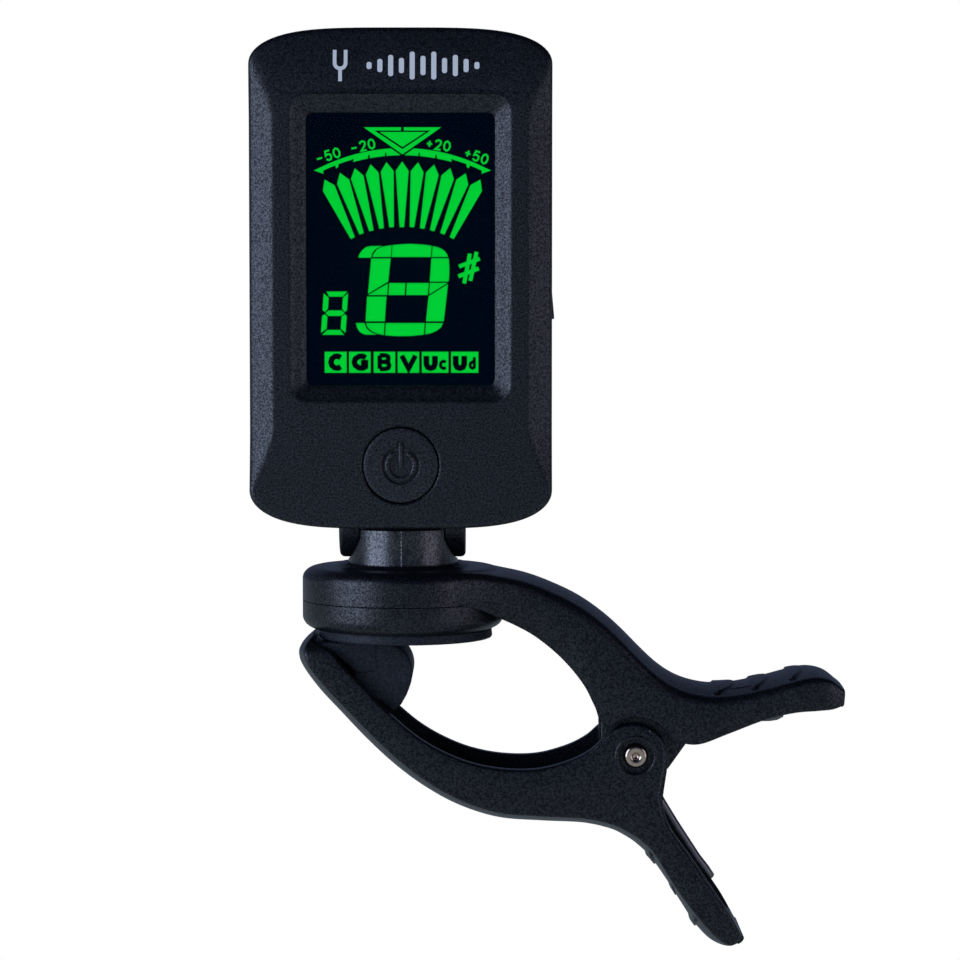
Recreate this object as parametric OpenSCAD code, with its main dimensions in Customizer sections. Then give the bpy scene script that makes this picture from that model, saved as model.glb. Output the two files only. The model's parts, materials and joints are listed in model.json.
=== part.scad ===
// Clip-on instrument tuner: display head on a tilt and swivel neck, carried by a sprung jaw clip.
// Millimetres. +Z up along the swivel axis, +X from the neck towards the clip handles,
// the display faces -Y. Origin: centre of the fixed jaw pad's gripping face.

/* [Head] */
// Width of the display head
head_w = 30; // [28:0.5:34]
// Height of the display head
head_h = 49.5; // [46:0.5:54]
// Width of the visible window
window_w = 18.7; // [16:0.1:20]
// Height of the visible window
window_h = 26.9; // [24:0.1:28]
// Height of the window centre above the head's bottom edge
window_up = 27.65; // [26:0.05:29]
// Wall thickness of both head shells
wall = 1.3; // [1:0.1:1.6]
// Radius of the power button
button_r = 3.7; // [3:0.1:4.2]
// Height of the button centre above the head's bottom edge
button_up = 6.3; // [5.5:0.05:7]

/* [Battery] */
// Radius of the coin cell
cell_r = 10; // [8:0.5:10]
// Thickness of the coin cell
cell_t = 3.2; // [2:0.1:3.2]

/* [Hinge and swivel] */
// Height of the tilt axis above the jaw pad face
tilt_z = 11.9; // [11.5:0.1:12.5]
// Radius of the hinge ears
ear_r = 3.7; // [3.2:0.1:4]
// Radius of the hinge pin
hinge_pin_r = 1.0; // [0.8:0.1:1.3]
// Radius of the swivel post
post_r = 5.6; // [5:0.1:5.6]
// Radius of the swivel neck inside the collar
neck_r = 3.4; // [3:0.1:3.8]
// Radius of the collar
collar_r = 10.3; // [9.5:0.1:11]
// Radius of the fixed jaw pad
pad_r = 8.85; // [8:0.05:9]

/* [Clip] */
// Half width of the clip arms
arm_hw = 6; // [5.5:0.1:6.5]
// Side wall thickness of the arms
arm_wall = 1.15; // [1:0.05:1.3]
// Web thickness of the arms
web_t = 1.3; // [1.1:0.1:1.6]
// Clip pivot position, X
pivot_x = 23.53; // [23.5:0.01:23.6]
// Clip pivot position, Z
pivot_z = -11.5; // [-11.6:0.05:-11.4]
// Radius of the pivot pin
pin_r = 1.2; // [1:0.05:1.3]
// Radius of the outer ears on the lower arm
outer_ear_r = 3.15; // [3:0.05:3.3]
// Wire diameter of the torsion spring
wire_d = 1.1; // [0.9:0.1:1.2]
// Turns in the torsion spring
spring_turns = 4; // [3:1:4]

/* [Hidden] */

// Head levels
bottom_z = tilt_z - 0.25;
top_z = bottom_z + head_h;
mid_z = (bottom_z + top_z) / 2;
window_z = bottom_z + window_up;
button_z = bottom_z + button_up;
cell_z = bottom_z + 26.75;
door_z = bottom_z + 12.75;   // lower edge of the battery door

// Head planes, front to rear
front_y = -9;
cavity_y = -7.5;             // inside of the front face
split_y = -3;                // parting plane of the shells
part_y = -3.01;              // where the parts behind the board start
contact_y = -2.99;           // front end of both battery contacts
floor_y = -2.15;             // front of the battery bay's floor
bay_y = -1.95;               // rear of the battery bay's floor
cell_rear_y = 1.3;
rear_y = 3;

// Axes: [y, z] for the hinge, [x, z] for the others
hinge = [0, tilt_z];
button = [0, button_z];
pivot = [pivot_x, pivot_z];
piezo = [7.6, bottom_z + 14.5];

// Screw bosses [x, z]: two behind the battery door, two beside the hinge
bosses = [
  [-9.3, top_z - 4.6], [9.3, top_z - 4.6],
  [-11.2, bottom_z + 5.2], [11.2, bottom_z + 5.2]];
boss_r = 1.9;

pocket_hw = 10.3;            // half width of the lens pocket
pocket_hh = 14.35;           // half height of the lens pocket
rail_x = 11.75;              // inner side of the door's rail slots
contact_hw = 1.8;
ear_in = 4.35;               // inner and outer sides of the hinge ears
ear_out = 6.4;
knuckle_hw = 4.2;
collar_top = 7.35;
collar_bottom = 3.9;
seat_bottom = 0.92;
pad_screw_x = 7.2;
seat_y = [1.8, 3.25];        // spring seat on the lower arm

// Colours
black = [0.085, 0.09, 0.1];
rubber_black = [0.05, 0.05, 0.055];
chip_black = [0.03, 0.03, 0.03];
lens_smoke = [0.03, 0.03, 0.04, 0.6];
lcd_blue = [0.01, 0.012, 0.03];
display_green = [0.05, 0.8, 0.2];
panel_white = [0.9, 0.92, 0.9];
elastomer_pink = [0.75, 0.5, 0.5];
board_green = [0.05, 0.3, 0.12];
switch_grey = [0.2, 0.2, 0.22];
plunger_cream = [0.9, 0.88, 0.8];
emblem_blue = [0.72, 0.79, 0.88];
brass = [0.8, 0.62, 0.25];
ceramic_white = [0.92, 0.9, 0.84];
lead_red = [0.7, 0.1, 0.08];
lead_black = [0.1, 0.1, 0.1];
contact_gold = [0.85, 0.82, 0.7];
steel = [0.75, 0.75, 0.77];

// ---------- ranges: [low, high] pairs along one axis ----------
function around(centre, half) = [centre - half, centre + half];
function across(half) = [-half, half];
function above(level, low, high) = [level + low, level + high];
// the range from inner to outer on the + side, or its mirror image on the - side
function beside(side, inner, outer) = side > 0 ? [inner, outer] : [-outer, -inner];

// ---------- basic solids, each spanning a range ----------
module box(xs, ys, zs) {
  translate([xs[0], ys[0], zs[0]])
    cube([xs[1] - xs[0], ys[1] - ys[0], zs[1] - zs[0]]);
}
// centre is [y, z]
module rod_x(r, centre, xs, fn = 64) {
  translate([xs[0], centre[0], centre[1]])
    rotate([0, 90, 0]) cylinder(r = r, h = xs[1] - xs[0], $fn = fn);
}
// centre is [x, z]
module rod_y(r, centre, ys, fn = 48) {
  translate([centre[0], ys[1], centre[1]])
    rotate([90, 0, 0]) cylinder(r = r, h = ys[1] - ys[0], $fn = fn);
}
// centre is [x, y]
module rod_z(r, zs, fn = 64, centre = [0, 0]) {
  translate([centre[0], centre[1], zs[0]]) cylinder(r = r, h = zs[1] - zs[0], $fn = fn);
}
// slabs extrude a drawing: slab_x in YZ, slab_y in XZ, slab_z in XY
module slab_x(xs) {
  translate([xs[0], 0, 0]) rotate([90, 0, 90]) linear_extrude(height = xs[1] - xs[0]) children();
}
module slab_y(ys) {
  translate([0, ys[1], 0]) rotate([90, 0, 0]) linear_extrude(height = ys[1] - ys[0]) children();
}
module slab_z(zs) {
  translate([0, 0, zs[0]]) linear_extrude(height = zs[1] - zs[0]) children();
}
// crossed slots of a screw head facing along Z
module cross_slot(half_w, half_l, zs) {
  for (turn = [0, 90]) rotate([0, 0, turn]) box(across(half_w), across(half_l), zs);
}

// ---------- lofts ----------
function flat(rings) = [for (ring = rings) for (p = ring) p];
// triangles joining each of the first `strips` rings to the next, wrapping after the last
function side_faces(rings, strips) = let (n = len(rings[0]))
  [for (i = [0 : strips - 1]) for (k = [0 : n - 1]) let (
    this = i * n,
    next = (i + 1) % len(rings) * n,
    beyond = (k + 1) % n)
    each [[this + k, this + beyond, next + beyond], [this + k, next + beyond, next + k]]];

module loft(rings) {
  n = len(rings[0]);
  last = len(rings) - 1;
  faces = concat(
    [[for (k = [n - 1 : -1 : 0]) k]],
    side_faces(rings, last),
    [[for (k = [0 : n - 1]) last * n + k]]);
  polyhedron(points = flat(rings), faces = faces, convexity = 8);
}
module loft_loop(rings) {
  polyhedron(points = flat(rings), faces = side_faces(rings, len(rings)));
}

// ---------- head outline: straight sides, barrelled top and bottom ----------
top_bulge = 3.6;
bottom_bulge = 3.8;
function corner_x(angle) = pow(abs(cos(angle)), 0.5) * sign(cos(angle));
function outline(inset, steps = 18) = [
  // start angle, level, bulge
  for (arc = [
    [0, top_z - inset - top_bulge, top_bulge],
    [180, bottom_z + inset + bottom_bulge, bottom_bulge]])
  for (k = [0 : steps]) let (angle = arc[0] + 180 * k / steps)
    [(head_w / 2 - inset) * corner_x(angle), arc[1] + arc[2] * sin(angle)]];
function head_ring(inset, y) = [for (p = outline(inset)) [p[0], y, p[1]]];
// stations are [inset, y]
module head_loft(stations) { loft([for (s = stations) head_ring(s[0], s[1])]); }
module outline_slab(inset, ys) { slab_y(ys) polygon(outline(inset)); }

// rounded rectangle centred on the window
module window_rect(w, h, r) {
  // x sign, z sign, start angle
  corners = [[1, 1, 0], [-1, 1, 90], [-1, -1, 180], [1, -1, 270]];
  translate([0, window_z]) polygon([for (c = corners) for (a = [0 : 15 : 90])
    [c[0] * (w / 2 - r) + r * cos(c[2] + a), c[1] * (h / 2 - r) + r * sin(c[2] + a)]]);
}

// ---------- shells ----------
module boss_posts(ys, limit_ys) {
  for (boss = bosses) intersection() {
    rod_y(boss_r, boss, ys);
    outline_slab(0.4, limit_ys);
  }
}

module front_shell() {
  root_y = cavity_y - 0.1;   // inner features start inside the face
  pocket_z = around(window_z, pocket_hh);
  color(black) difference() {
    union() {
      difference() {
        head_loft([[2.0, front_y], [0.95, -8.8], [0.3, -8.35], [0, cavity_y], [0, split_y]]);
        outline_slab(wall, [cavity_y, split_y + 1]);
      }
      boss_posts([root_y, split_y], [-8, split_y]);
      // frame around the lens pocket
      difference() {
        box(across(11.4), [root_y, -6.6], around(window_z, 15.4));
        box(across(pocket_hw), [-8, -6], pocket_z);
      }
      // guide collar for the button
      rod_y(button_r + 1.1, button, [root_y, -7.0]);
    }
    // window opening, sloping bezel, lens pocket
    box(across(window_w / 2), [-10, -7], around(window_z, window_h / 2));
    hull() {
      slab_y([-8.21, -8.2]) window_rect(window_w, window_h, 0.6);
      slab_y([-9.01, -9.0]) window_rect(window_w + 2.7, window_h + 2.7, 1.9);
    }
    box(across(pocket_hw), [-8.12, -6], pocket_z);
    // long side facets
    for (side = [-1, 1]) slab_z([bottom_z + 8, top_z - 7.5])
      polygon([[side * 12.6, front_y - 0.02], [side * 16, front_y + 1.48], [side * 16, front_y - 1]]);
    rod_y(button_r + 0.12, button, [-10, -6.5]);
    // pilot holes for the case screws
    for (boss = bosses) rod_y(0.7, boss, [-7.2, split_y + 0.5]);
    // clearance around the hinge block
    rod_x(6.65, hinge, across(6.5));
  }
}

// clearance for the swivel post's knuckle, as the head tilts
module knuckle_room() {
  gap = across(ear_in);
  reach = 6;
  tilt_angle = 68;           // end of the rear sector, above horizontal
  rod_x(4.1, hinge, gap);
  intersection() {
    rod_x(5.9, hinge, gap);
    union() {
      box(gap, [-0.01, reach], above(tilt_z, -reach, 0.1));
      slab_x(gap) polygon([[0, tilt_z], [reach, tilt_z], [reach, tilt_z + reach],
        [reach / tan(tilt_angle), tilt_z + reach]]);
    }
  }
  box(gap, [-6.6, 4], above(tilt_z, -reach, 0.35));
  box(gap, [-6.6, -3], above(tilt_z, -reach, 1.0));
}

module rear_shell() {
  back_y = 4;                // cuts run out behind the head
  over_z = top_z + 5;        // and above it
  color(black) difference() {
    union() {
      // side walls and lower back
      difference() {
        head_loft([[0, split_y + 0.02], [0, 1.4], [0.5, 2.5], [1.4, rear_y]]);
        outline_slab(wall, [split_y - 1, floor_y]);
        // battery bay and the room the door slides into
        rod_y(cell_r + 0.35, [0, cell_z], [bay_y, back_y], 96);
        box(across(5), [bay_y, back_y], [cell_z, cell_z + cell_r + 3.2]);
        box(across(5), [bay_y, back_y], [cell_z - cell_r - 2.0, cell_z]);
        box(across(20), [1.4, back_y], [door_z, over_z]);
        for (side = [-1, 1]) {
          // undercut slots for the door's rails, open at the top: [outer x, rear y]
          for (slot = [[12.55, 1.5], [13.25, 0.95]])
            box(beside(side, rail_x, slot[0]), [0.15, slot[1]], [door_z + 1.3, over_z]);
          // rooms left and right of the hinge block
          box(beside(side, 7.7, 9.0), [-2.2, 1.6], above(bottom_z, 2.2, 10.5));
        }
      }
      // hinge block with its two ears
      intersection() {
        rod_x(6.55, hinge, across(ear_out));
        box(across(7), [-6.0, rear_y - 0.3], [bottom_z + 0.03, tilt_z + 8]);
        outline_slab(0.1, [-8, 4]);
      }
      for (side = [-1, 1]) {
        rod_x(ear_r, hinge, beside(side, ear_in, ear_out));
        box(beside(side, ear_in, ear_out), across(2.6), above(tilt_z, 0, 5));
      }
      // bosses that meet the front shell's
      boss_posts([split_y + 0.02, 0.6], [-8, 4]);
    }
    knuckle_room();
    rod_x(hinge_pin_r + 0.02, hinge, across(8));
    // screw holes and head recesses
    for (boss = bosses) {
      rod_y(0.95, boss, across(4));
      rod_y(1.65, boss, [-0.4, 4]);
    }
    // slots in the bay floor for the contacts
    box(across(2.2), [-3, 4], above(cell_z + cell_r, 0.8, 2.4));
    box(across(2.2), [-3, 4], [cell_z - cell_r - 1.9, cell_z + 1.5]);
  }
}

module battery_door() {
  grooves = 5;
  groove_pitch = 1.3;
  color(black) union() {
    difference() {
      intersection() {
        head_loft([[0.03, 1.0], [0.03, 1.45], [0.5, 2.5], [1.4, rear_y]]);
        box(across(20), [1.44, 4], [door_z + 0.08, top_z + 1]);
      }
      // thumb grip grooves
      for (k = [0 : grooves - 1])
        rod_x(0.35, [rear_y + 0.12, door_z + 4 + k * groove_pitch], across(5), 24);
    }
    // slide rails with a foot that hooks under the shell: [outer x, rear y]
    for (side = [-1, 1]) for (rail = [[12.45, 1.5], [13.1, 0.85]])
      box(beside(side, rail_x + 0.1, rail[0]), [0.25, rail[1]], above(door_z, 1.5, 30));
    // thumb wedge on the +X side
    slab_y([1.55, 2.35]) polygon([[14.6, 32.4], [15.48, 32.4], [15.02, 37.4], [14.6, 37.4]]);
  }
}

// ---------- display ----------
module display_lens() { color(lens_smoke) slab_y([-8.05, -7.3]) window_rect(20.4, 28.5, 1.2); }

module lcd_panel() {
  half_w = 10.25;
  half_h = 14.2;
  ledge = 1.6;               // the rear layer stops short of the bottom edge
  color(lcd_blue) union() {
    box(across(half_w), [-7.18, -6.45], around(window_z, half_h));
    box(across(half_w), [-6.46, -5.75], above(window_z, ledge - half_h, half_h));
  }
}

// point at a radius and an angle from +Z, about the centre that the needles point to
function polar(radius, angle) = [radius * sin(angle), window_z - 8.4 + radius * cos(angle)];
module needle(angle) {
  base = 10.0;
  shoulder = 14.6;
  tip = 15.6;
  polygon([polar(base, angle - 0.8), polar(shoulder, angle - 2.15), polar(tip, angle),
    polar(shoulder, angle + 2.15), polar(base, angle + 0.8)]);
}
// pointed bar along X at height level; swapped() turns it upright
function bar(start, end, level, thick) = let (half = thick / 2) [
  [start, level], [start + half, level + half], [end - half, level + half],
  [end, level], [end - half, level - half], [start + half, level - half]];
function swapped(points) = [for (p = points) [p[1], p[0]]];
module digit(w, h, thick, gap) {
  for (level = [0, h / 2, h]) polygon(bar(gap, w - gap, level, thick));
  for (x = [0, w]) for (start = [0, h / 2])
    polygon(swapped(bar(start + gap, start + h / 2 - gap, x, thick)));
}
module segment_film() {
  needle_pitch = 5.6;        // degrees
  color(display_green) slab_y([-7.29, -7.19]) union() {
    for (k = [-5 : 5]) needle(k * needle_pitch);
    // scale arc in two halves
    for (side = [-1, 1]) polygon(concat(
      [for (a = [1.6 : 2.6 : 28.5]) polar(17.0, side * a)],
      [for (a = [28 : -2.6 : 1.6]) polar(16.5, side * a)]));
    // centre marker
    polygon([[-2.2, window_z + 11.4], [2.2, window_z + 11.4], [0, window_z + 9.7]]);
    // large and small digits
    translate([-2.9, window_z - 7.3]) digit(w = 5.8, h = 7.6, thick = 1.5, gap = 0.3);
    translate([-7.5, window_z - 7.4]) digit(w = 1.9, h = 3.6, thick = 0.55, gap = 0.2);
    // pair of upright bars, and the bottom row of blocks
    for (k = [0 : 1]) translate([6.3 + k * 0.8, window_z - 1.7]) square([0.4, 2.4]);
    for (k = [0 : 5]) translate([-7.6 + k * 2.62, window_z - 11.45]) square([2.15, 2.1]);
  }
}

module backlight_panel() {
  color(panel_white) box(across(10.1), [-5.7, -4.7], above(window_z, -12.4, 14.2));
  // tab on the top edge
  color(panel_white) box(across(6), [-5.6, -4.7], above(window_z, 14.2, 15.2));
}
module elastomer_strip() {
  color(elastomer_pink) box(across(9.2), [-6.4, -4.05], above(window_z, -14.1, -12.65));
}

// ---------- electronics ----------
module circuit_board() {
  notch = 2.15;
  cut_y = [-5, -2];
  color(board_green) difference() {
    box(across(12.6), [-4.0, -3.02], [bottom_z + 4.5, top_z - 3.6]);
    // rounded notches round the bosses, open towards the corners
    for (boss = bosses) {
      rod_y(notch, boss, cut_y);
      box(boss[0] > 0 ? [boss[0], 14] : [-14, boss[0]], cut_y,
        boss[1] > mid_z ? above(boss[1], -notch, 4) : above(boss[1], -4, notch));
    }
    rod_x(6.75, hinge, across(7));
  }
}

// block on the rear of the board, zs measured from the head's bottom edge
module rear_part(xs, end_y, zs) { box(xs, [part_y, end_y], above(bottom_z, zs[0], zs[1])); }
module board_components() {
  chip_z = cell_z - 1;
  color(chip_black) {
    // processor under its epoxy dome, on the rear
    intersection() {
      translate([0, -3.02, chip_z]) sphere(r = 3.4, $fn = 48);
      box(across(5), [part_y, -2.25], around(chip_z, 5));
    }
    rear_part([-9.5, -5.9], -2.35, [11.5, 14.2]);
    // crystal and passives
    rear_part([-9.3, -6.2], -2.3, [15.7, 17.1]);
    for (k = [0 : 5]) rear_part([-11.6, -10.6], -2.5, above(k * 2.4, 18, 18.6));
    for (k = [0 : 4]) rear_part([10.4, 11.4], -2.5, above(k * 2.6, 18, 18.6));
    // backlight LEDs on the front
    for (x = [-3.2, 3.2]) box(around(x, 0.8), [-4.65, -4.01], above(window_z, 14.3, 15.1));
  }
}

plunger = [0, button_z + 0.85];
module tact_switch() {
  color(switch_grey) difference() {
    box(across(1.9), [-5.35, -4.01], above(button_z, -0.7, 2.75));
    rod_y(0.95, plunger, [-6, -4.6]);
  }
}
module switch_plunger() { color(plunger_cream) rod_y(0.85, plunger, [-6.5, -5.05], 32); }

module power_button() {
  symbol_y = [-9.5, -8.8];
  through_y = [-9.6, -8.7];
  color(black) difference() {
    union() {
      rod_y(button_r, button, [-9.02, -7.05], 96);
      // retaining flange behind the face, and the step that joins it
      rod_y(button_r + 0.8, button, [-6.95, -6.52], 96);
      rod_y(button_r - 0.1, button, [-7.06, -6.9], 96);
    }
    // sunk power symbol: open ring and bar
    difference() {
      rod_y(1.5, button, symbol_y);
      rod_y(1.08, button, through_y);
      box(across(0.55), through_y, above(button_z, 0, 3));
    }
    box(across(0.2), symbol_y, above(button_z, -0.3, 2.2));
  }
}

module front_emblem() {
  bar_heights = [0.5, 1.1, 1.9, 1.3, 2.5, 1.3, 1.9, 1.1, 0.5];
  color(emblem_blue) slab_y(above(front_y, -0.03, -0.001)) {
    // tuning fork: tines, bridge, stem
    translate([-5.6, top_z - 3.9]) union() {
      for (x = [-0.55, 0.25]) translate([x, -0.1]) square([0.3, 1.5]);
      translate([-0.55, -0.4]) square([1.1, 0.35]);
      translate([-0.15, -1.5]) square([0.3, 1.2]);
    }
    // level bars
    for (k = [0 : 8]) translate([-3.1 + k, top_z - 3.95 - bar_heights[k] / 2])
      square([0.42, bar_heights[k]]);
  }
}

module piezo_disc() { color(brass) rod_y(4.0, piezo, [-2.36, -2.16]); }
module piezo_ceramic() { color(ceramic_white) rod_y(2.8, piezo, [-2.6, -2.37]); }
module lead(x) { rod_z(0.15, above(bottom_z, 15, 21), 16, [x, -2.79]); }
module piezo_leads() {
  color(lead_red) lead(piezo[0] - 0.8);
  color(lead_black) lead(piezo[0] + 0.8);
}

module coin_cell() {
  cell_front_y = cell_rear_y - cell_t;
  color(steel) union() {
    rod_y(cell_r, [0, cell_z], [cell_front_y + 0.5, cell_rear_y], 96);
    rod_y(cell_r - 1.2, [0, cell_z], above(cell_front_y, 0, 0.6), 96);
  }
}
module battery_contact_positive() {
  cell_top = cell_z + cell_r;
  color(contact_gold) union() {
    box(across(contact_hw), [contact_y, cell_rear_y], above(cell_top, 1.5, 1.8));
    box(across(contact_hw), [-1.2, -0.9], above(cell_top, 0.45, 1.6));
    box(across(contact_hw), [-1.2, 0.9], above(cell_top, 0.1, 0.46));
  }
}
module battery_contact_negative() {
  foot_z = cell_z - cell_r - 1.6;
  color(contact_gold) union() {
    box(across(contact_hw), [contact_y, bay_y], above(foot_z, 0, 0.3));
    box(across(contact_hw), [-2.2, bay_y], [foot_z, cell_z + 1]);
  }
}

module case_screws() {
  color(steel) for (boss = bosses) difference() {
    union() {
      rod_y(0.65, boss, [-6.8, -0.3], 32);
      rod_y(1.5, boss, [-0.35, 0.45], 48);
    }
    for (turn = [0, 90]) translate([boss[0], 0, boss[1]]) rotate([0, turn, 0])
      box(across(0.2), [0.05, 1], across(0.85));
  }
}

// ---------- hinge and swivel ----------
module hinge_pin() {
  color(steel) difference() {
    rod_x(hinge_pin_r, hinge, across(6.3));
    // dimples in both ends
    for (x = [-6.35, 6.05]) rod_x(0.4, hinge, [x, x + 0.3], 32);
  }
}

module post_limit() { rod_z(post_r, [6, 20], 128); }
module swivel_post() {
  pocket_r = ear_r + 0.15;
  color(black) difference() {
    union() {
      rod_z(post_r, [6.9, tilt_z - 0.7], 128);
      // knuckle
      intersection() {
        rod_x(ear_r, hinge, across(knuckle_hw));
        post_limit();
      }
      intersection() {
        box(across(knuckle_hw), across(ear_r), [tilt_z - 2, tilt_z]);
        post_limit();
      }
      rod_z(neck_r, [4.5, 7], 96);
    }
    // pockets for the ears
    for (side = [-1, 1]) {
      rod_x(pocket_r, hinge, beside(side, knuckle_hw, 8), 96);
      box(beside(side, knuckle_hw, 8), [0, 8], [tilt_z - pocket_r, 20]);
    }
    rod_x(hinge_pin_r + 0.05, hinge, across(6));
    rod_z(1.05, [4, 9.6], 48);
  }
}

module wave_washer() {
  steps = 48;
  waves = 3;
  amplitude = 0.06;
  section = [[3.6, -0.1], [4.7, -0.1], [4.7, 0.1], [3.6, 0.1]];   // radius, z
  color(steel) loft_loop([for (i = [0 : steps - 1]) let (
    a = 360 * i / steps,
    z = 4.7 + amplitude * sin(waves * a))
    [for (p = section) [p[0] * cos(a), p[0] * sin(a), z + p[1]]]]);
}
module swivel_washer() {
  color(steel) difference() {
    rod_z(4.8, [4.06, 4.48], 96);
    rod_z(1.3, [4, 5], 48);
  }
}
module swivel_screw() {
  color(steel) difference() {
    union() {
      rod_z(1.0, [3.9, 9.2], 48);
      rod_z(2.3, [2.65, 4.04]);
    }
    cross_slot(0.28, 1.3, [2, 3.3]);
  }
}

// ---------- clip arms ----------
// Stations: crown x, crown z, inner x, inner z, half width, sag
upper_rows = [
  [1.5, 7.3, 1.5, 3.9, 9.7, 0.2], [5.6, 7.32, 5.6, 3.86, 8.9, 0.4],
  [9.2, 7.12, 8.3, 3.2, 7.7, 0.8], [12.4, 6.5, 10.7, 2.05, 6.75, 1.15],
  [15.2, 5.5, 13.1, 0.8, 6.2, 1.3], [17.9, 4.2, 15.2, -0.8, 6, 1.3],
  [20.3, 2.5, 17.0, -2.65, 6, 1.3], [22.3, 0.72, 18.45, -4.6, 6, 1.3],
  [24.2, -1.2, 19.4, -6.5, 6, 1.3], [25.9, -2.72, 20.3, -8.5, 6, 1.3],
  [27.6, -3.8, 23.3, -9.75, 6, 1.3], [29.4, -4.45, 26.7, -10.0, 6, 1.3],
  [31.5, -4.75, 29.7, -10.2, 6, 1.3], [34.0, -4.66, 32.9, -9.05, 6, 1.2],
  [36.8, -4.15, 36.4, -7.8, 6, 1.1], [39.4, -3.5, 39.4, -6.95, 6, 1.0],
  [41.4, -3.2, 41.7, -6.6, 5.9, 0.9], [43.3, -3.7, 43.4, -6.35, 5.6, 0.7],
  [44.6, -4.75, 44.5, -6.15, 5.0, 0.4]];
lower_rows = [
  [-9.6, 0.05, -9.0, -0.25, 4.4, 0.15], [-10.35, -0.6, -8.3, -0.75, 5.4, 0.5],
  [-10.75, -1.75, -7.3, -1.5, 5.9, 0.9], [-10.1, -3.1, -5.9, -2.45, 6, 1.1],
  [-8.6, -5.1, -4.65, -3.72, 6, 1.1], [-6.3, -7.6, -2.7, -5.9, 6, 1.1],
  [-3.7, -10.35, -0.5, -7.9, 6, 1.1], [-0.9, -12.95, 1.7, -9.65, 6, 1.1],
  [2.2, -15.25, 4.2, -11.1, 6, 1.1], [5.7, -17.15, 7.0, -12.2, 6, 1.1],
  [9.7, -18.4, 10.2, -12.8, 6, 1.1], [14.0, -18.7, 13.6, -12.8, 6, 1.1],
  [18.6, -18.95, 17.0, -11.9, 6, 1.1], [21.5, -19.6, 20.5, -9.95, 6, 1.1],
  [23.6, -20.85, 23.53, -9.3, 6, 1.1], [25.1, -22.3, 25.85, -12.6, 6, 1.1],
  [26.3, -23.95, 26.4, -15.9, 6, 1.15], [27.5, -25.6, 27.25, -19.0, 6, 1.2],
  [28.6, -27.5, 29.3, -22.0, 6, 1.2], [29.8, -29.4, 31.6, -24.9, 6, 1.2],
  [31.3, -30.95, 33.2, -27.3, 5.9, 1.1], [33.0, -31.7, 34.4, -29.2, 5.6, 0.8],
  [34.3, -31.3, 34.85, -30.1, 5.0, 0.4]];

// Catmull-Rom curve from p1 to p2
function catmull_rom(p0, p1, p2, p3, t) = 0.5 * ((2 * p1) + (p2 - p0) * t
  + (2 * p0 - 5 * p1 + 4 * p2 - p3) * t * t + (3 * p1 - p0 - 3 * p2 + p3) * t * t * t);
// the curve through every row of a table, in a number of steps between rows
function smooth_rows(rows, steps) = let (last = len(rows) - 1) concat(
  [for (i = [0 : last - 1]) for (k = [0 : steps - 1]) catmull_rom(
    rows[max(i - 1, 0)], rows[i], rows[i + 1], rows[min(i + 2, last)], k / steps)],
  [rows[last]]);
function rows_between(rows, first, last) = [for (i = [first : last]) rows[i]];
// the lower arm's crown points down, so its rings run the other way
function turned(rows) = [for (i = [len(rows) - 1 : -1 : 0]) rows[i]];

// One cross-section of an arm at a table row. lift shifts the crown inwards,
// trim narrows the sides and drop pushes the inner side outwards.
function arm_ring(row, lift, trim, drop) = let (
  crown = [row[0], row[1]],
  inner = [row[2], row[3]],
  depth = norm(crown - inner),
  outward = (crown - inner) / depth,
  half_w = row[4] - trim,
  sag = row[5],
  top = depth - lift,
  shoulder = top - sag - 0.6 * min(1, sag),
  crown_hw = half_w - 0.5,
  section = concat(
    [[-half_w, -drop], [-half_w, shoulder]],
    [for (k = [-3 : 3]) [k / 3 * crown_hw, top - sag * pow(k / 3, 2)]],
    [[half_w, shoulder], [half_w, -drop]]))
  [for (p = section) [inner[0] + outward[0] * p[1], p[0], inner[1] + outward[1] * p[1]]];
module arm_solid(rows, lift = 0, trim = 0, drop = 0) {
  loft([for (row = smooth_rows(rows, 2)) arm_ring(row, lift, trim, drop)]);
}

module at_pivot(r, ys, fn = 96) { rod_y(r, pivot, ys, fn); }
// grip ridges: the crown a little higher, kept only in blocks across the handle.
// blocks are [crown x, crown z, angle at which the crown rises]
module grip_ridges(rows, blocks) {
  intersection() {
    arm_solid(rows, lift = -0.2, trim = 0.6);
    for (b = blocks) translate([b[0], 0, b[1]]) rotate([0, -b[2], 0])
      box(across(1.05), across(5), across(0.6));
  }
}

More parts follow.
